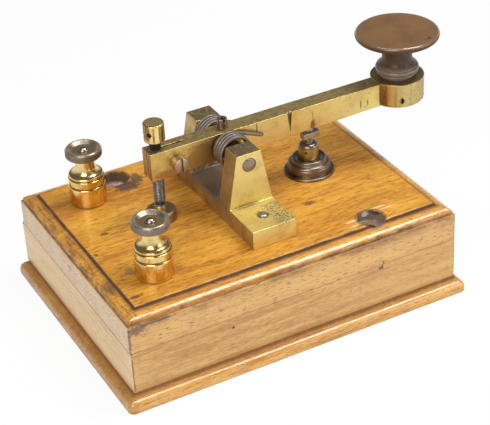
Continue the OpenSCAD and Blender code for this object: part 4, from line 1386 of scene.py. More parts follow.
@dataclass
class PivotYoke:
    """The brass yoke with two uprights, its studs and nuts, and the two torsion springs."""

    x: float = -1.7
    y: float = 2.5
    board: float = 42.5
    half_w: float = 10.0
    half_top_w: float = 5.5
    foot_t: float = 8.3
    height: float = 32.0
    inner: float = 13.0
    outer: float = 22.5
    foot_end: float = 42.0
    pivot_h: float = 26.8
    axle_r: float = 2.9
    stud_r: float = 2.2
    stud_y: float = 32.25
    stud_tip: float = 0.9
    wire_r: float = 0.78
    coil_r: float = 6.9
    coil_start: float = 5.5
    coil_end: float = 11.7
    arm_angle: float = 67.0
    arm_l: float = 14.2
    turns: float = 3.0 + 203.0 / 360.0
    stud_foot: Point = (21.6, 20.7)
    bend_from: float = 7.8
    bend_to: float = 14.6

    def build(self) -> None:
        """Builds and dresses the yoke and its springs."""
        self.yoke()
        steel = GREY_STEEL.paint("stud_steel")
        studs = Blank()
        for s, foot in zip((-1, 1), self.stud_foot):
            tip = self.board + self.foot_t + self.stud_tip
            studs.turned([(0, foot), (self.stud_r, foot),
                          *arc((0, tip - self.stud_tip), self.stud_r, self.stud_tip, 0, 90, 8)],
                         (self.x, self.y + s * self.stud_y, 0), Along.Z, 48)
        domes = FORGE.finish(FORGE.rough("foot_stud_domes", studs))
        place_piece(domes, "base", steel, "foot_studs")
        dress_node("foot_nuts", BRIGHT_BRASS.paint("nut_brass"))
        self.springs()

    def yoke(self) -> None:
        """Builds the yoke as one casting with eased edges."""
        low, high = self.foot_t, self.height
        stations = [-self.foot_end, -self.outer, -self.inner, self.inner, self.outer, self.foot_end]
        blank = Blank()
        number: dict[tuple[int, float, float], int] = {}
        for side in (-1, 1):
            for dy in stations:
                for dz in (0.0, low, high):
                    at_end = abs(dy) == self.foot_end
                    if (dz == 0.0 and not at_end) or (dz == high and at_end):
                        continue
                    half = self.half_top_w if dz == high else self.half_w
                    place = (self.x + side * half, self.y + dy, self.board + dz)
                    number[side, dy, dz] = blank.ring([place])[0]
        e, o, i = self.foot_end, self.outer, self.inner
        loop = [(-e, 0.0), (e, 0.0), (e, low), (o, low), (o, high), (i, high),
                (i, low), (-i, low), (-i, high), (-o, high), (-o, low), (-e, low)]
        for (y0, z0), (y1, z1) in zip(loop, loop[1:] + loop[:1]):
            blank.faces.append([number[-1, y0, z0], number[-1, y1, z1],
                                number[1, y1, z1], number[1, y0, z0]])
        for side in (-1, 1):
            flat = [(-e, 0.0), (e, 0.0)] + [(dy, low) for dy in reversed(stations)]
            blank.faces.append([number[side, dy, dz] for dy, dz in flat])
            for a, b in ((-o, -i), (i, o)):
                blank.faces.append([number[side, a, low], number[side, b, low],
                                    number[side, b, high], number[side, a, high]])
        yoke = FORGE.rough("yoke_casting", blank)
        ring = 0.2
        cutters = []
        for s in (-1, 1):
            face = self.y + s * self.outer
            cutters.append(Blank().turned(
                rod(self.axle_r + ring, -1.2, 1.2), (self.x, face, self.board + self.pivot_h), Along.Y, 48))
            cutters.append(Blank().turned(
                rod(self.stud_r + ring, -1.0, 1.0),
                (self.x, self.y + s * self.stud_y, self.board + self.foot_t), Along.Z, 48))
        FORGE.finish(yoke, 0.28)
        FORGE.cut(yoke, cutters)
        FORGE.finish(yoke)

        def pits(coat: Coat) -> Value:
            """Gives where the front foot is pitted."""
            here = coat.x.rise(self.x - 1.0, self.x + 5.0)
            foot = coat.y.rise(self.y - self.outer - 1.5, self.y - self.outer - 4.5)
            level = coat.z.rise(self.board + self.foot_t - 1.6, self.board + self.foot_t)
            return here * foot * level

        # Painted shade in the crease where the front upright meets the foot and round the front stud's nut;
        # painted shade and grey dust between the uprights, under the lever.
        dark = (0.1, 0.065, 0.035)
        crease = self.y - self.outer
        brass = OldBrass((0.84, 0.67, 0.25), shaded_top=(0.17, 0.12, 0.06), top_shade_share=1.0, metal=0.75)
        paint = brass.paint("yoke_brass", (
            Mark((self.x - 3, crease - 0.3, self.board + self.foot_t), (7.0, 1.3, 1.2), dark, 0.5),
            Mark((self.x, self.y - self.stud_y, self.board + self.foot_t), (3.3, 3.2, 1.0), dark, 0.6),
            Mark((self.x, self.y, self.board + self.foot_t), (22.0, 20.0, 3.0), (0.27, 0.235, 0.24), 0.95),
        ), pits)
        place_piece(yoke, "base", paint, "yoke")

    def spring_route(self, mirror: int) -> list[Place]:
        """Lists the wire's points: hook in the lever, arm, coils and leg in the upright.

        Args:
            mirror: 1 for the front spring and -1 for the back one.

        Returns:
            The points in millimetres.
        """
        bend = 2 * self.wire_r
        a0 = math.radians(self.arm_angle)
        way = Vector((-math.sin(a0), 0, math.cos(a0)))
        start = Vector((self.coil_r * math.cos(a0), -self.coil_start, self.coil_r * math.sin(a0)))
        hook = start - way * self.arm_l
        across = Vector((0, 1, 0))
        route = [hook + across * 2 * bend]
        for k in range(9):
            a = math.radians(90 * k / 8)
            route.append(hook + bend * ((1 - math.sin(a)) * across + (1 - math.cos(a)) * way))
        for k in range(1, 6):
            route.append(hook + way * (bend + (self.arm_l - bend) * k / 6))
        steps = round(self.turns * 40)
        for k in range(steps + 1):
            t = k / steps
            a = a0 + 2 * math.pi * self.turns * t
            y = -self.coil_start - (self.coil_end - self.coil_start) * t
            route.append(Vector((self.coil_r * math.cos(a), y, self.coil_r * math.sin(a))))
        for k in range(1, 9):
            a = math.radians(90 * k / 8)
            y = -self.coil_end - bend * (1 - math.cos(a))
            route.append(Vector((bend * math.sin(a), y, -self.coil_r)))
        route.append(Vector((bend, -self.coil_end - 2 * bend, -self.coil_r)))
        pivot = Vector((self.x, self.y, self.board + self.pivot_h))
        return [tuple(pivot + Vector((p.x, p.y * mirror, p.z))) for p in route]

    def springs(self) -> None:
        """Winds the two springs, whose arms follow the lever."""
        tree = wire_recipe()
        paint = TurnedMetal((0.26, 0.21, 0.18), (0.17, 0.135, 0.12), 0.52).paint("spring_steel")
        pivot = Vector((self.x, self.y, self.board + self.pivot_h))
        for name, mirror in (("front", 1), ("back", -1)):
            route = self.spring_route(mirror)
            curve = bpy.data.curves.new(f"{name}_spring_path", "CURVE")
            curve.dimensions = "3D"
            line = curve.splines.new("POLY")
            line.points.add(len(route) - 1)
            for point, place in zip(line.points, route):
                point.co = (*(Vector(place) * MM), 1.0)
            values = {"Wire radius": self.wire_r * MM, "Sides": 14, "Material": paint}
            spring = tree.make(f"{name}_spring_wire", values, curve)
            start, end = (pivot + Vector((reach, 0, 0)) for reach in (self.bend_from, self.bend_to))
            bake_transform(spring, "base", "lever_arm", start=tuple(start * MM), end=tuple(end * MM))
            place_piece(spring, "base", paint, f"{name}_spring")


@dataclass
class LeverArm:
    """The brass lever with its boss, pivot, knob and contact."""

    x: float = -1.7
    y: float = 2.5
    z: float = 69.3
    half_t: float = 4.0
    rear: float = -34.8
    reach: float = 85.2
    rise: float = 6.4
    rear_h: float = 12.6
    front_h: float = 10.4
    boss_r: float = 11.7
    boss_rise: float = 0.6
    boss_drop: float = 0.2
    slit_w: float = 0.9
    slit_l: float = 16.6
    groove_x: float = 29.6
    groove_w: float = 2.2
    groove_h: float = 9.0
    groove_depth: float = 0.7
    knob_h: float = 20.7
    knob_r: float = 18.1
    knob_rim: float = 2.9
    neck_r: float = 6.5
    bead_r: float = 9.4
    set_turn: float = math.radians(-22)
    set_drop: float = 0.6
    set_r: float = 1.23
    axle_r: float = 2.9
    axle_half: float = 22.5
    axle_dome: float = 0.8
    bush_bore: float = 2.93
    bush_r: float = 4.6
    bush_half: float = 12.85
    lock_r: float = 1.5
    lock_head_r: float = 2.2
    lock_h: float = 4.8
    slot_half: float = 0.45
    slot_depth: float = 1.1

    def build(self) -> None:
        """Builds and dresses the lever and what it carries."""
        self.lever()
        self.pivot()
        self.knob()
        self.screws()

    def lever(self) -> None:
        """Builds the bar with its saw cut and groove, and the round boss."""
        x, y, z = self.x, self.y, self.z
        taper = self.reach - self.boss_r
        side = [(x + self.rear, z + self.rise), (x + self.rear, z + self.rise - self.rear_h),
                (x + taper, z + self.rise - self.front_h), (x + self.reach, z + self.rise - self.front_h),
                (x + self.reach, z + self.rise)]
        bar = FORGE.rough("lever_bar", Blank().prism(side, y - self.half_t, y + self.half_t, Along.Y))
        slit = oblong((x + self.rear - 2, y - self.slit_w / 2),
                      (x + self.rear + self.slit_l, y + self.slit_w / 2))
        top = z + self.rise
        gx = x + self.groove_x
        slope = (top + 0.5 - (top - self.groove_h)) / self.groove_h
        wedge = [(gx - self.groove_w / 2 * slope, top + 0.5), (gx + self.groove_w / 2 * slope, top + 0.5),
                 (gx, top - self.groove_h)]
        face = y - self.half_t
        FORGE.cut(bar, [
            Blank().prism(slit, z - 20, z + 20, Along.Z),
            Blank().prism(wedge, face - 2, face + self.groove_depth, Along.Y),
        ])
        FORGE.finish(bar, 0.2)
        low = z + self.rise - self.front_h - self.boss_drop
        high = z + self.rise + self.boss_rise
        boss = FORGE.rough("lever_boss", Blank().turned(eased([
            (0, low), (self.boss_r - 0.8, low), (self.boss_r, low + 0.8), (self.boss_r, high), (0, high),
        ], 0.35), (x + self.reach, y, 0), Along.Z, 128))
        hole = Vector((math.sin(self.set_turn), -math.cos(self.set_turn), 0))
        drill = Blank().turned(rod(self.set_r, -3, 3), (0, 0, 0), Along.Y, 32)
        spin = Matrix.Rotation(self.set_turn, 3, "Z")
        seat = Vector((x + self.reach, y, z - self.set_drop)) + hole * (self.boss_r + 2)
        drill.points = [spin @ p + seat for p in drill.points]
        FORGE.cut(boss, [drill])
        FORGE.finish(boss)
        brown_patch = (0.16, 0.085, 0.035)
        scratch = (0.12, 0.08, 0.04)

        def pits(coat: Coat) -> Value:
            """Gives where the boss is pitted."""
            right = coat.x.rise(x + self.reach - 1.0, x + self.reach + 4.0)
            return right * coat.y.rise(y - 4.0, y - 9.0) * 0.55

        tarnish = (0.4, 0.21, 0.07)
        lever_marks = (
            Mark((-28.0, face, z - 4.6), (9.0, 1.0, 2.6), tarnish, 0.8),
            Mark((-13.5, face, z - 1.5), (8.5, 1.0, 7.5), tarnish, 0.75),
            # Dark marks on the front face above the front contact.
            Mark((38.85, face, z - 2.6), (1.3, 0.8, 2.6), brown_patch, 0.8),
            Mark((38.85, face, z + 1.5), (0.5, 0.8, 3.0), brown_patch, 0.4),
            Mark((12.2, face, z + 4.0), (0.35, 0.8, 2.6), scratch, 0.8),
            Mark((-22.0, y, top), (1.4, 0.9, 0.8), scratch, 0.8),
            # Painted shade in the groove.
            Mark((gx, face + 0.5, top - 3.5), (1.3, 0.45, 5.5), scratch, 0.9),
            Mark((62.6, face, z), (0.5, 0.8, 2.2), scratch, 0.7),
            Mark((66.0, face, z - 0.3), (0.45, 0.8, 1.8), scratch, 0.7),
            Mark((72.3, face, z + 1.0), (0.5, 0.9, 7.0), scratch, 0.75),
        )
        paint = OLD_BRASS.paint("lever_brass", lever_marks)
        place_piece(bar, "lever_arm", paint, "lever")
        mouth = Vector((x + self.reach, y, z - self.set_drop)) + hole * self.boss_r
        marks = []
        # Painted dark reflection bands round the boss.
        front_way, reflection_band_colour = -116.6, (0.26, 0.17, 0.06)
        reflection_bands = ((-44, 4.0, 0.65), (-30, 0.8, 0.6), (-9, 0.7, 0.4), (24, 0.6, 0.3), (62, 1.4, 0.45))
        for angle, wide, strength in reflection_bands:
            way = math.radians(front_way + angle)
            at = (x + self.reach + self.boss_r * math.cos(way), y + self.boss_r * math.sin(way), z)
            marks.append(Mark(at, (wide, wide, 9.0), reflection_band_colour, strength))
        # Painted shade in the mouth of the set-screw hole.
        marks.append(Mark(tuple(mouth), (0.55, 0.55, 2.0), scratch, 0.95))
        brass = OldBrass((0.62, 0.5, 0.2), shaded_top=(0.23, 0.15, 0.065), rough=0.3, left_reflection_share=0.0)
        place_piece(boss, "lever_arm", brass.paint("boss_brass", marks, pits))

    def pivot(self) -> None:
        """Builds the axle, its bush and the lock screw over them."""
        steel = WARM_STEEL.paint("axle_steel")
        centre = (self.x, self.y, self.z)
        axle = [*arc((0, -self.axle_half), self.axle_r, self.axle_dome, -90, 0, 8),
                *arc((0, self.axle_half), self.axle_r, self.axle_dome, 0, 90, 8)]
        turn_piece("pivot_axle_rod", axle, centre, Along.Y, 64, "lever_arm", steel, "pivot_axle")
        bush = oblong((self.bush_bore, -self.bush_half), (self.bush_r, self.bush_half))
        brass = TurnedMetal((0.5, 0.34, 0.11), (0.22, 0.14, 0.06), 0.35, 0.8, Along.Y).paint("bush_brass")
        turn_piece("pivot_bush_sleeve", eased(bush, 0.25, True), centre, Along.Y, 64, "lever_arm",
                   brass, "pivot_bush")
        top = self.rise + self.lock_h
        head = FORGE.rough("lock_screw_head", Blank().turned(eased([
            (0, self.bush_bore), (self.lock_r, self.bush_bore), (self.lock_r, self.rise),
            (self.lock_head_r, self.rise), (self.lock_head_r, top), (0, top),
        ], 0.4), centre, Along.Z, 48))
        slot = oblong((self.x - self.slot_half, self.z + top - self.slot_depth),
                      (self.x + self.slot_half, self.z + top + 2))
        FORGE.cut(head, [Blank().prism(slot, self.y - 4, self.y + 4, Along.Y)])
        place_piece(FORGE.finish(head), "lever_arm", steel, "lock_screw")

    def knob(self) -> None:
        """Builds the turned knob: foot, bead, cove, flare, round rim and low crown."""
        foot_r = self.bead_r - 1.5
        under = self.knob_h - 0.3 - self.knob_rim
        flare = self.knob_r - 1.6
        half_rim = self.knob_rim / 2
        outline = [
            (0, 0), *eased([(foot_r - 0.3, 0), (foot_r, 0.3), (foot_r, 1.0), (foot_r - 0.3, 1.2)], 0.15),
            *arc((foot_r + 0.5, 1.75), 0.5, 0.5, -90, 70, 8), (foot_r + 0.55, 2.35),
            *arc((foot_r + 0.4, 3.5), self.bead_r - foot_r - 0.4, 1.1, -80, 75, 14),
            *arc((self.bead_r, 8.6), self.bead_r - self.neck_r, 3.6, 255, 180, 14),
            *arc((flare, 10.6), flare - self.neck_r, under - 10.6, 180, 90, 22),
            *arc((self.knob_r - half_rim, under + half_rim), half_rim, half_rim, -80, 80, 16),
            (self.knob_r * 0.75, self.knob_h - 0.2), (self.knob_r / 2, self.knob_h - 0.08), (0, self.knob_h),
        ]
        foot = self.z + self.rise + self.boss_rise
        centre = (self.x + self.reach, self.y, foot)
        knob = FORGE.finish(FORGE.rough("turned_knob", Blank().turned(outline, centre, Along.Z, 160)))
        pit = (0.03, 0.018, 0.012)
        paint = BrownRubber(crown_z=foot + self.knob_h - 0.9).paint("knob_rubber", (
            Mark((90.6, -11.4, foot + self.knob_h), (1.1, 0.9, 1.0), pit, 1.0),
        ))
        place_piece(knob, "lever_arm", paint, "knob")

    def screws(self) -> None:
        """Dresses the small screws and the contact under the lever."""
        steel = DARK_STEEL.paint("small_screw_steel")
        dress_node("knob_screw", steel)
        out = self.boss_r - 1.0
        head = (self.x + self.reach + out * math.sin(self.set_turn), self.y - out * math.cos(self.set_turn),
                self.z - self.set_drop)
        grub = TurnedMetal((0.3, 0.23, 0.1), (0.2, 0.14, 0.06), 0.4)
        dress_node("set_screw", grub.paint("set_screw_steel", (), (
            Mark(head, (0.6, 2.0, 1.9), (0.03, 0.02, 0.012), 1.0),
        )))
        dress_node("lever_contact", SILVER.paint("lever_contact_silver"))


@dataclass
class AdjustingScrew:
    """The capstan-headed screw behind the pivot, and the clamp screw that locks it."""

    x: float = -32.3
    y: float = 2.5
    foot: float = 50.03
    pip_r: float = 1.6
    pip_h: float = 1.5
    shank_r: float = 2.5
    head_z: float = 79.5
    head_h: float = 8.5
    head_r: float = 4.4
    low_bevel: float = 0.7
    top_bevel: float = 0.3
    tommy_z: float = 84.1
    tommy_r: float = 1.05
    neck_z: float = 76.0
    tommy_turn: float = 40.0
    pitch: float = 0.75
    ridge: float = 0.2
    clamp_x: float = -24.9
    clamp_z: float = 69.4
    clamp_face: float = -1.53
    clamp_r: float = 3.3
    clamp_h: float = 4.8
    clamp_shank: float = 6.4
    clamp_shank_r: float = 1.8
    slot_half: float = 0.45
    slot_depth: float = 1.2

    def build(self) -> None:
        """Builds and dresses both screws."""
        self.capstan()
        self.clamp()

    def capstan(self) -> None:
        """Builds the adjusting screw with its tommy hole and thread."""
        core = self.shank_r - self.ridge
        shoulder = self.foot + self.pip_h
        top = self.head_z + self.head_h
        screw = FORGE.rough("capstan_screw", Blank().turned(eased([
            (0, self.foot), (self.pip_r, self.foot), (self.pip_r, shoulder), (core, shoulder),
            (core, self.head_z), (self.head_r - self.low_bevel, self.head_z),
            (self.head_r, self.head_z + self.low_bevel), (self.head_r, top - self.top_bevel),
            (self.head_r - self.top_bevel, top), (0, top),
        ], 0.2), (self.x, self.y, 0), Along.Z, 80))
        turn = math.radians(self.tommy_turn)
        drill = Blank().turned(rod(self.tommy_r, -9, 9), (0, 0, 0), Along.X, 32)
        spin = Matrix.Rotation(turn, 3, "Z")
        drill.points = [spin @ p + Vector((self.x, self.y, self.tommy_z)) for p in drill.points]
        FORGE.cut(screw, [drill])
        grey = (0.1, 0.098, 0.1)
        brass = TurnedMetal((0.86, 0.64, 0.27), (0.5, 0.3, 0.09), 0.12, 0.7)
        # Painted shade in the mouths of the tommy hole.
        mouths = []
        for s in (-1, 1):
            out = s * (self.head_r - 0.8)
            place = (self.x + out * math.cos(turn), self.y + out * math.sin(turn), self.tommy_z)
            mouths.append(Mark(place, (1.0, 1.0, 1.0), (0.03, 0.02, 0.01), 0.9))
        # Two dark vertical marks on the head's side are painted reflection bands.
        dark_patch = (0.16, 0.09, 0.04)
        mouths.append(Mark((self.x - 3.6, self.y - 1.6, self.tommy_z + 1), (1.3, 1.9, 6.0), dark_patch, 0.85))
        mouths.append(Mark((self.x + 0.6, self.y - self.head_r, self.tommy_z), (0.45, 1.0, 6.0), dark_patch, 0.8))
        mouths.append(Mark((self.x, self.y, top), (5.0, 5.0, 0.8), (0.72, 0.54, 0.26), 0.8, 0.34))
        # Painted shadow on the neck under the head.
        neck_shadow = HeightBand(self.neck_z, self.head_z - 0.1, (0.02, 0.017, 0.014), 0.5)
        paint = brass.paint("capstan_brass", (HeightBand(40.0, self.head_z - 0.1, grey, 0.36), neck_shadow), mouths)
        place_piece(FORGE.finish(screw), "adjuster", paint, "adjusting_screw")
        height = self.neck_z - shoulder - 0.8
        bright = TurnedMetal((0.5, 0.5, 0.52), (0.3, 0.3, 0.31), 0.3, 0.6).paint("thread_steel")
        thread = thread_recipe().make("capstan_screw_thread", {
            "Thread radius": (core + 0.02) * MM, "Height": height * MM, "Turns": height / self.pitch,
            "Ridge radius": (self.ridge - 0.02) * MM,
            "Foot": (self.x * MM, self.y * MM, (shoulder + 0.4) * MM), "Material": bright,
        })
        place_piece(thread, "adjuster", bright)

    def clamp(self) -> None:
        """Builds the slotted clamp screw."""
        centre = (self.clamp_x, self.clamp_face, self.clamp_z)
        screw = FORGE.rough("clamp_screw_head", Blank().turned(eased([
            (0, -self.clamp_h), (self.clamp_r, -self.clamp_h), (self.clamp_r, 0), (self.clamp_shank_r, 0),
            (self.clamp_shank_r, self.clamp_shank), (0, self.clamp_shank),
        ], 0.45), centre, Along.Y, 64))
        front = self.clamp_face - self.clamp_h
        slot = oblong((self.clamp_x - self.slot_half, front - 2),
                      (self.clamp_x + self.slot_half, front + self.slot_depth))
        FORGE.cut(screw, [Blank().prism(slot, self.clamp_z - 8, self.clamp_z + 8, Along.Z)])
        brass = TurnedMetal((0.52, 0.4, 0.27), (0.26, 0.19, 0.15), 0.36, 0.9, Along.Y)
        place_piece(FORGE.finish(screw), "clamp", brass.paint("clamp_brass"), "clamp_screw")


@dataclass
class Contacts:
    """The front contact on its turned base and the back contact under the adjusting screw."""

    y: float = 2.5
    board: float = 42.5
    front_x: float = 38.6
    base_r: float = 11.0
    base_h: float = 7.2
    foot_h: float = 1.2
    foot_round: float = 0.7
    band_in: float = 1.6
    band_top: float = 3.7
    bead_r: Point = (1.4, 0.8)
    dome_r: float = 4.4
    dome_z: float = 6.6
    dome_h: float = 7.6
    side_h: float = 5.7
    neck_r: float = 2.1
    neck_top: float = 16.03
    bar_x: Point = (35.5, 43.7)
    bar_half_w: float = 1.7
    bar_h: float = 2.7
    bore: float = 2.03
    shank_r: float = 2.0
    front_foot: float = -21.8
    back_x: float = -32.3
    back_foot: float = -20.9
    back_r: float = 6.4
    back_h: float = 4.8
    back_round: float = 1.2
    post_r: float = 2.75
    post_top: float = 6.8
    tip_r: float = 2.55
    tip_top: float = 7.5

    def build(self) -> None:
        """Builds and dresses both contacts."""
        self.front()
        self.back()

    def front(self) -> None:
        """Builds the turned base, the domed post and the bar."""
        at = (self.front_x, self.y, self.board)
        band = self.base_r - self.band_in
        seat = self.dome_r + 0.6
        low = (band - 0.25 - self.bead_r[0], self.band_top + 0.4)
        high = (seat + 1.6, self.base_h - self.bead_r[1])
        beads = [p for c, r in zip((low, high), self.bead_r) for p in arc(c, r, r, 0, 90, 10)]
        foot = self.foot_round
        base = eased([
            (self.bore, 0), (self.base_r, 0), *arc((self.base_r - foot, self.foot_h - foot), foot, foot, 0, 90),
            (band, self.foot_h), (band, self.band_top), *beads, (seat + 0.6, self.base_h - 0.2),
            (seat, self.dome_z), (self.bore, self.dome_z),
        ], 0.15, True)
        turn_piece("front_contact_turned_base", base, at, Along.Z, 128, "base",
                   DARK_BRASS.paint("contact_base_brass"), "front_contact_base")
        side = self.dome_z + self.side_h
        post = eased([
            (0, self.front_foot), (self.shank_r, self.front_foot), (self.shank_r, self.dome_z),
            (self.dome_r, self.dome_z),
            *arc((self.neck_r, side), self.dome_r - self.neck_r, self.dome_h - self.side_h, 0, 90, 12),
            (self.neck_r, self.neck_top), (0, self.neck_top),
        ], 0.25)
        brass = TurnedMetal((0.5, 0.43, 0.18), (0.3, 0.25, 0.1), 0.34, 0.8)
        cap = HeightBand(self.board + side - 0.1, self.board + self.neck_top, (0.23, 0.19, 0.16), 0.28)
        pin_hole = Mark((35.6, -0.7, self.board + 10.7), (0.7, 0.7, 0.7), (0.02, 0.015, 0.01), 0.95)
        turn_piece("front_contact_domed_post", post, at, Along.Z, 96, "base",
                   brass.paint("contact_post_brass", (cap,), (pin_hole,)), "front_contact_post")
        z = self.board + self.neck_top
        section = oblong((self.y - self.bar_half_w, z), (self.y + self.bar_half_w, z + self.bar_h))
        bar = FORGE.rough("front_contact_eased_bar", Blank().prism(section, *self.bar_x, Along.X))
        place_piece(FORGE.finish(bar, 0.35), "base", SILVER.paint("contact_bar_silver"),
                    "front_contact_bar")
        dress_node("front_contact_nut", BRIGHT_BRASS.paint("front_nut_brass"))

    def back(self) -> None:
        """Builds the back contact's base, post and tip."""
        at = (self.back_x, self.y, self.board)
        top_edge = self.back_round
        base = eased([
            (self.bore, 0), (self.back_r, 0),
            *arc((self.back_r - top_edge, self.back_h - top_edge), top_edge, top_edge, 0, 90, 8),
            (self.bore, self.back_h),
        ], 0.2, True)
        brown = TurnedMetal((0.47, 0.33, 0.22), (0.27, 0.18, 0.125), 0.45, 0.8)
        turn_piece("back_contact_round_base", base, at, Along.Z, 96, "base",
                   brown.paint("back_base_brass"), "back_contact_base")
        post = eased([
            (0, self.back_foot), (self.shank_r, self.back_foot), (self.shank_r, self.back_h),
            (self.post_r, self.back_h), (self.post_r, self.post_top), (0, self.post_top),
        ], 0.25)
        turn_piece("back_contact_short_post", post, at, Along.Z, 64, "base",
                   BRIGHT_BRASS.paint("back_post_brass"), "back_contact_post")
        tip = eased(rod(self.tip_r, self.post_top, self.tip_top), 0.2)
        turn_piece("back_contact_hard_tip", tip, at, Along.Z, 64, "base",
                   SILVER.paint("back_tip_silver"), "back_contact_tip")
        dress_node("back_contact_nut", BRIGHT_BRASS.paint("back_nut_brass"))


@dataclass
class Terminal:
    """One terminal: collar, stud, clamp washer and knurled thumb nut."""

    name: str
    y: float
    x: float = -52.1
    board: float = 42.5
    collar_r: float = 7.85
    collar_h: float = 9.0
    washer_r: float = 7.7
    washer_z: float = 9.03
    washer_h: float = 3.4
    nut_z: float = 12.46
    nut_h: float = 13.1
    lip_r: float = 0.75
    lip_in: float = 0.35
    waist_r: float = 4.1
    waist_z: float = 5.6
    flare: float = 1.2
    disc_r: float = 7.75
    disc_h: float = 3.9
    disc_bevel: float = 0.6
    dish: float = 1.2
    dish_rim: float = 1.3
    dish_slope: float = 1.65
    stud_r: float = 2.2
    stud_tip: float = 1.5
    stud_foot: float = -21.8
    collar_bore: float = 2.23
    bore: float = 2.25
    ridges: int = 100
    ridge_r: float = 0.11

    def build(self, knurl: Recipe) -> None:
        """Builds and dresses the terminal.

        Args:
            knurl: The tree that makes the thumb nut's edge.
        """
        at = (self.x, self.y, self.board)
        collar = eased([
            (self.collar_bore, 0), (self.collar_r, 0), (self.collar_r, self.collar_h - 0.5),
            (self.collar_r - 0.5, self.collar_h), (self.collar_bore, self.collar_h),
        ], 0.3, True)
        rim = self.board + self.collar_h
        # Painted shade at the collar's rim under the washer, and a dark band at its foot.
        shade = HeightBand(rim - 0.3, rim + 0.3, (0.2, 0.11, 0.04), 0.4, 0.4)
        foot = HeightBand(self.board - 0.5, self.board + 0.4, (0.2, 0.1, 0.03), 0.4, 0.7)
        paint = BRIGHT_BRASS.paint(f"{self.name}_collar_brass", (shade, foot))
        turn_piece(f"{self.name}_terminal_collar", collar, at, Along.Z, 128, "base", paint,
                   f"{self.name}_collar")
        low, high = self.washer_z, self.washer_z + self.washer_h
        washer = eased([
            (self.bore, low), (self.washer_r - 0.5, low), (self.washer_r, low + 0.5),
            (self.washer_r, high - 0.25), (self.washer_r - 0.25, high), (self.bore, high),
        ], 0.2, True)
        turn_piece(f"{self.name}_terminal_washer", washer, at, Along.Z, 128, f"{self.name}_washer",
                   BRIGHT_BRASS.paint(f"{self.name}_washer_brass"), f"{self.name}_clamp_washer")
        self.thumb_nut(at, knurl)
        top = self.nut_z + self.nut_h - self.dish
        stud = [(0, self.stud_foot), (self.stud_r, self.stud_foot),
                *arc((0, top), self.stud_r, self.stud_tip, 0, 90, 12)]
        dome = TurnedMetal((0.45, 0.39, 0.3), (0.2, 0.15, 0.1), 0.16, 0.6)
        turn_piece(f"{self.name}_terminal_stud", stud, at, Along.Z, 64, "base",
                   dome.paint(f"{self.name}_stud_steel"), f"{self.name}_stud")

    def thumb_nut(self, at: Place, knurl: Recipe) -> None:
        """Builds the thumb nut: lip, bell, waist and dished, knurled disc.

        Args:
            at: The stud's place on the board.
            knurl: The tree that makes the disc's edge.
        """
        z = self.nut_z
        lip = self.washer_r - self.lip_in
        bell_r = lip - self.lip_r / 2
        disc_z = z + self.nut_h - self.disc_h
        top = z + self.nut_h
        core = self.disc_r - self.ridge_r + 0.01
        rim = core - self.dish_rim
        bevel = self.disc_bevel
        nut = eased([
            (self.bore, z), *arc((lip - self.lip_r, z + self.lip_r), self.lip_r, self.lip_r, -90, 60, 10),
            *arc((bell_r, z + self.waist_z), bell_r - self.waist_r, self.waist_z - 1.4, 270, 180, 16),
            *arc((self.waist_r + self.flare, disc_z - 1.4), self.flare, 1.4, 180, 90, 8),
            (core - bevel, disc_z), (core, disc_z + bevel), (core, top - bevel), (core - bevel, top),
            (rim, top), (rim - self.dish_slope, top - self.dish), (self.bore, top - self.dish),
        ], 0.22, True)
        level = self.board + disc_z
        crest = self.board + top
        # The disc's side is painted dark grey-brown, and its crest carries a painted highlight ring.
        paint = SATIN_BRASS.paint(f"{self.name}_thumb_nut_brass", (
            HeightBand(level - 0.2, level + 9.0, (0.24, 0.195, 0.155), 0.32),
            HeightBand(crest - 0.35, crest + 1.0, (0.54, 0.44, 0.33), 0.24, 0.85),
        ), (Mark((self.x, self.y, crest - 0.8), (8.0, 8.0, 1.4), (0.44, 0.33, 0.215), 0.8, 0.02),))
        body = f"{self.name}_nut"
        turn_piece(f"{self.name}_terminal_thumb_nut", nut, at, Along.Z, 128, body, paint,
                   f"{self.name}_thumb_nut")
        middle = Vector((at[0], at[1], self.board + disc_z + self.disc_h / 2)) * MM
        edge = knurl.make(f"{self.name}_terminal_knurl", {
            "Ridges": self.ridges, "Ring radius": (core - 0.02) * MM,
            "Ridge height": (self.disc_h - 2 * bevel - 0.2) * MM, "Ridge radius": self.ridge_r * MM,
            "Middle": tuple(middle), "Material": paint,
        })
        place_piece(edge, body, paint)


@dataclass
class Underside:
    """The nuts and straps inside the box, which keep their CAD solids."""

    def build(self) -> None:
        """Dresses the nuts and straps."""
        dress_node("terminal_nuts", BRIGHT_BRASS.paint("terminal_nut_brass"))
        strap = OLD_BRASS.paint("strap_brass")
        dress_node("line_strap", strap)
        dress_node("key_strap", strap)


# Studio


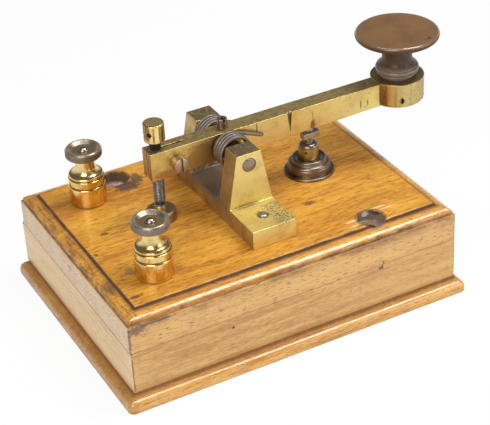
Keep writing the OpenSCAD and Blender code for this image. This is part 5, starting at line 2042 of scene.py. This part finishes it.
@dataclass
class Studio:
    """The pale floor, the soft lamps and the camera at the photograph's angle."""

    azimuth: float = -26.67
    elevation: float = 32.49
    roll: float = -3.31
    distance: float = 682.94
    target: Place = (6.66, 2.87, 31.39)
    focal_px: float = 1596.15
    image_w: float = 490.0
    sensor: float = 36.0
    floor_half: float = 4000.0

    def build(self) -> None:
        """Sets the view, the camera, the floor, the world and the lamps."""
        bpy.context.scene.view_settings.view_transform = "Standard"
        self.camera()
        self.floor()
        self.world()
        self.lamp("left_softbox", (-560, -560, 640), (600, 600), 5.0)
        self.lamp("right_softbox", (620, -620, 420), (500, 500), 1.8)
        self.lamp("top_softbox", (385, -117, 950), (400, 400), 5.6)
        self.lamp("top_strip", (-60, 100, 950), (600, 80), 1.7)

    def camera(self) -> None:
        """Places the camera."""
        a, e, r = (math.radians(v) for v in (self.azimuth, self.elevation, self.roll))
        back = Vector((math.sin(a) * math.cos(e), -math.cos(a) * math.cos(e), math.sin(e)))
        level = Vector((math.cos(a), math.sin(a), 0))
        upright = back.cross(level)
        right = math.cos(r) * level + math.sin(r) * upright
        up = math.cos(r) * upright - math.sin(r) * level
        data = bpy.data.cameras.new("key_camera")
        data.sensor_fit = "HORIZONTAL"
        data.sensor_width = self.sensor
        data.lens = self.focal_px / self.image_w * self.sensor
        data.clip_start = 0.01
        data.clip_end = 50.0
        camera = bpy.data.objects.new("key_camera", data)
        bpy.context.scene.collection.objects.link(camera)
        turn = Matrix((right, up, back)).transposed().to_4x4()
        camera.matrix_world = Matrix.Translation((Vector(self.target) + back * self.distance) * MM) @ turn
        bpy.context.scene.camera = camera

    def floor(self) -> None:
        """Lays the white floor, which keeps a soft shadow."""
        h = self.floor_half
        blank = Blank()
        blank.faces.append(blank.ring([(-h, -h, 0), (h, -h, 0), (h, h, 0), (-h, h, 0)]))
        plane = FORGE.rough("floor", blank)
        if plane.data.polygons[0].normal.z < 0:
            plane.data.flip_normals()
        coat = Coat("floor_white")
        path = coat.node("ShaderNodeLightPath")
        seen = Value(coat, path.outputs["Is Camera Ray"]).most(Value(coat, path.outputs["Is Glossy Ray"]))
        seen = seen.most(Value(coat, path.outputs["Is Transmission Ray"]))
        matt = coat.node("ShaderNodeBsdfDiffuse", {}, {"Color": (0.86, 0.86, 0.86)})
        glow = coat.node("ShaderNodeEmission", {}, {"Color": (1.0, 1.0, 1.0), "Strength": 1.0})
        mixed = coat.node("ShaderNodeMixShader", {}, {0: seen * 0.92, 1: matt.outputs[0], 2: glow.outputs[0]})
        coat.node("ShaderNodeOutputMaterial", {}, {"Surface": mixed.outputs[0]})
        plane.data.materials.append(coat.material)

    def world(self) -> None:
        """Lights the scene from a sky that is white at the horizon and greyer above."""
        world = bpy.data.worlds.new("studio")
        world.use_nodes = True
        bpy.context.scene.world = world
        sky = Graph(world.node_tree)
        sky.tree.nodes.clear()
        ray = sky.node("ShaderNodeTexCoord").outputs["Generated"]
        height = Value(sky, sky.node("ShaderNodeSeparateXYZ", {}, {0: ray}).outputs[2])
        path = sky.node("ShaderNodeLightPath")
        seen = Value(sky, path.outputs["Is Camera Ray"])
        glow = 0.12 + height.rise(0.42, 0.08) * 0.68
        shown = seen + (1 - seen) * glow
        dark = sky.node("ShaderNodeBackground", {}, {"Color": (0.0, 0.0, 0.0)})
        white = sky.node("ShaderNodeBackground", {}, {"Color": (1.0, 1.0, 1.0)})
        mixed = sky.node("ShaderNodeMixShader", {}, {0: shown, 1: dark.outputs[0], 2: white.outputs[0]})
        sky.node("ShaderNodeOutputWorld", {}, {"Surface": mixed.outputs[0]})

    def lamp(self, name: str, place: Place, sides: Point, watts: float) -> None:
        """Hangs a softbox that looks at the key, with its first side along the picture's width.

        Args:
            name: Its name.
            place: Its place in millimetres.
            sides: The lengths of its sides in millimetres.
            watts: Its power.
        """
        data = bpy.data.lights.new(name, "AREA")
        data.shape = "RECTANGLE"
        data.size = sides[0] * MM
        data.size_y = sides[1] * MM
        data.energy = watts
        lamp = bpy.data.objects.new(name, data)
        bpy.context.scene.collection.objects.link(lamp)
        a = math.radians(self.azimuth)
        out = (Vector(place) - Vector(self.target)).normalized()
        across = Vector((math.cos(a), math.sin(a), 0))
        across = (across - out * across.dot(out)).normalized()
        turn = Matrix((across, out.cross(across), out)).transposed().to_4x4()
        lamp.matrix_world = Matrix.Translation(Vector(place) * MM) @ turn


def main() -> None:
    logging.basicConfig(level=logging.INFO, format="%(message)s")
    Studio().build()
    WoodenBox().build()
    PivotYoke().build()
    LeverArm().build()
    AdjustingScrew().build()
    Contacts().build()
    knurl = knurl_recipe()
    Terminal("front", -32.35).build(knurl)
    Terminal("back", 32.35).build(knurl)
    Underside().build()
    bpy.context.view_layer.update()


if __name__ == "__main__":
    main()
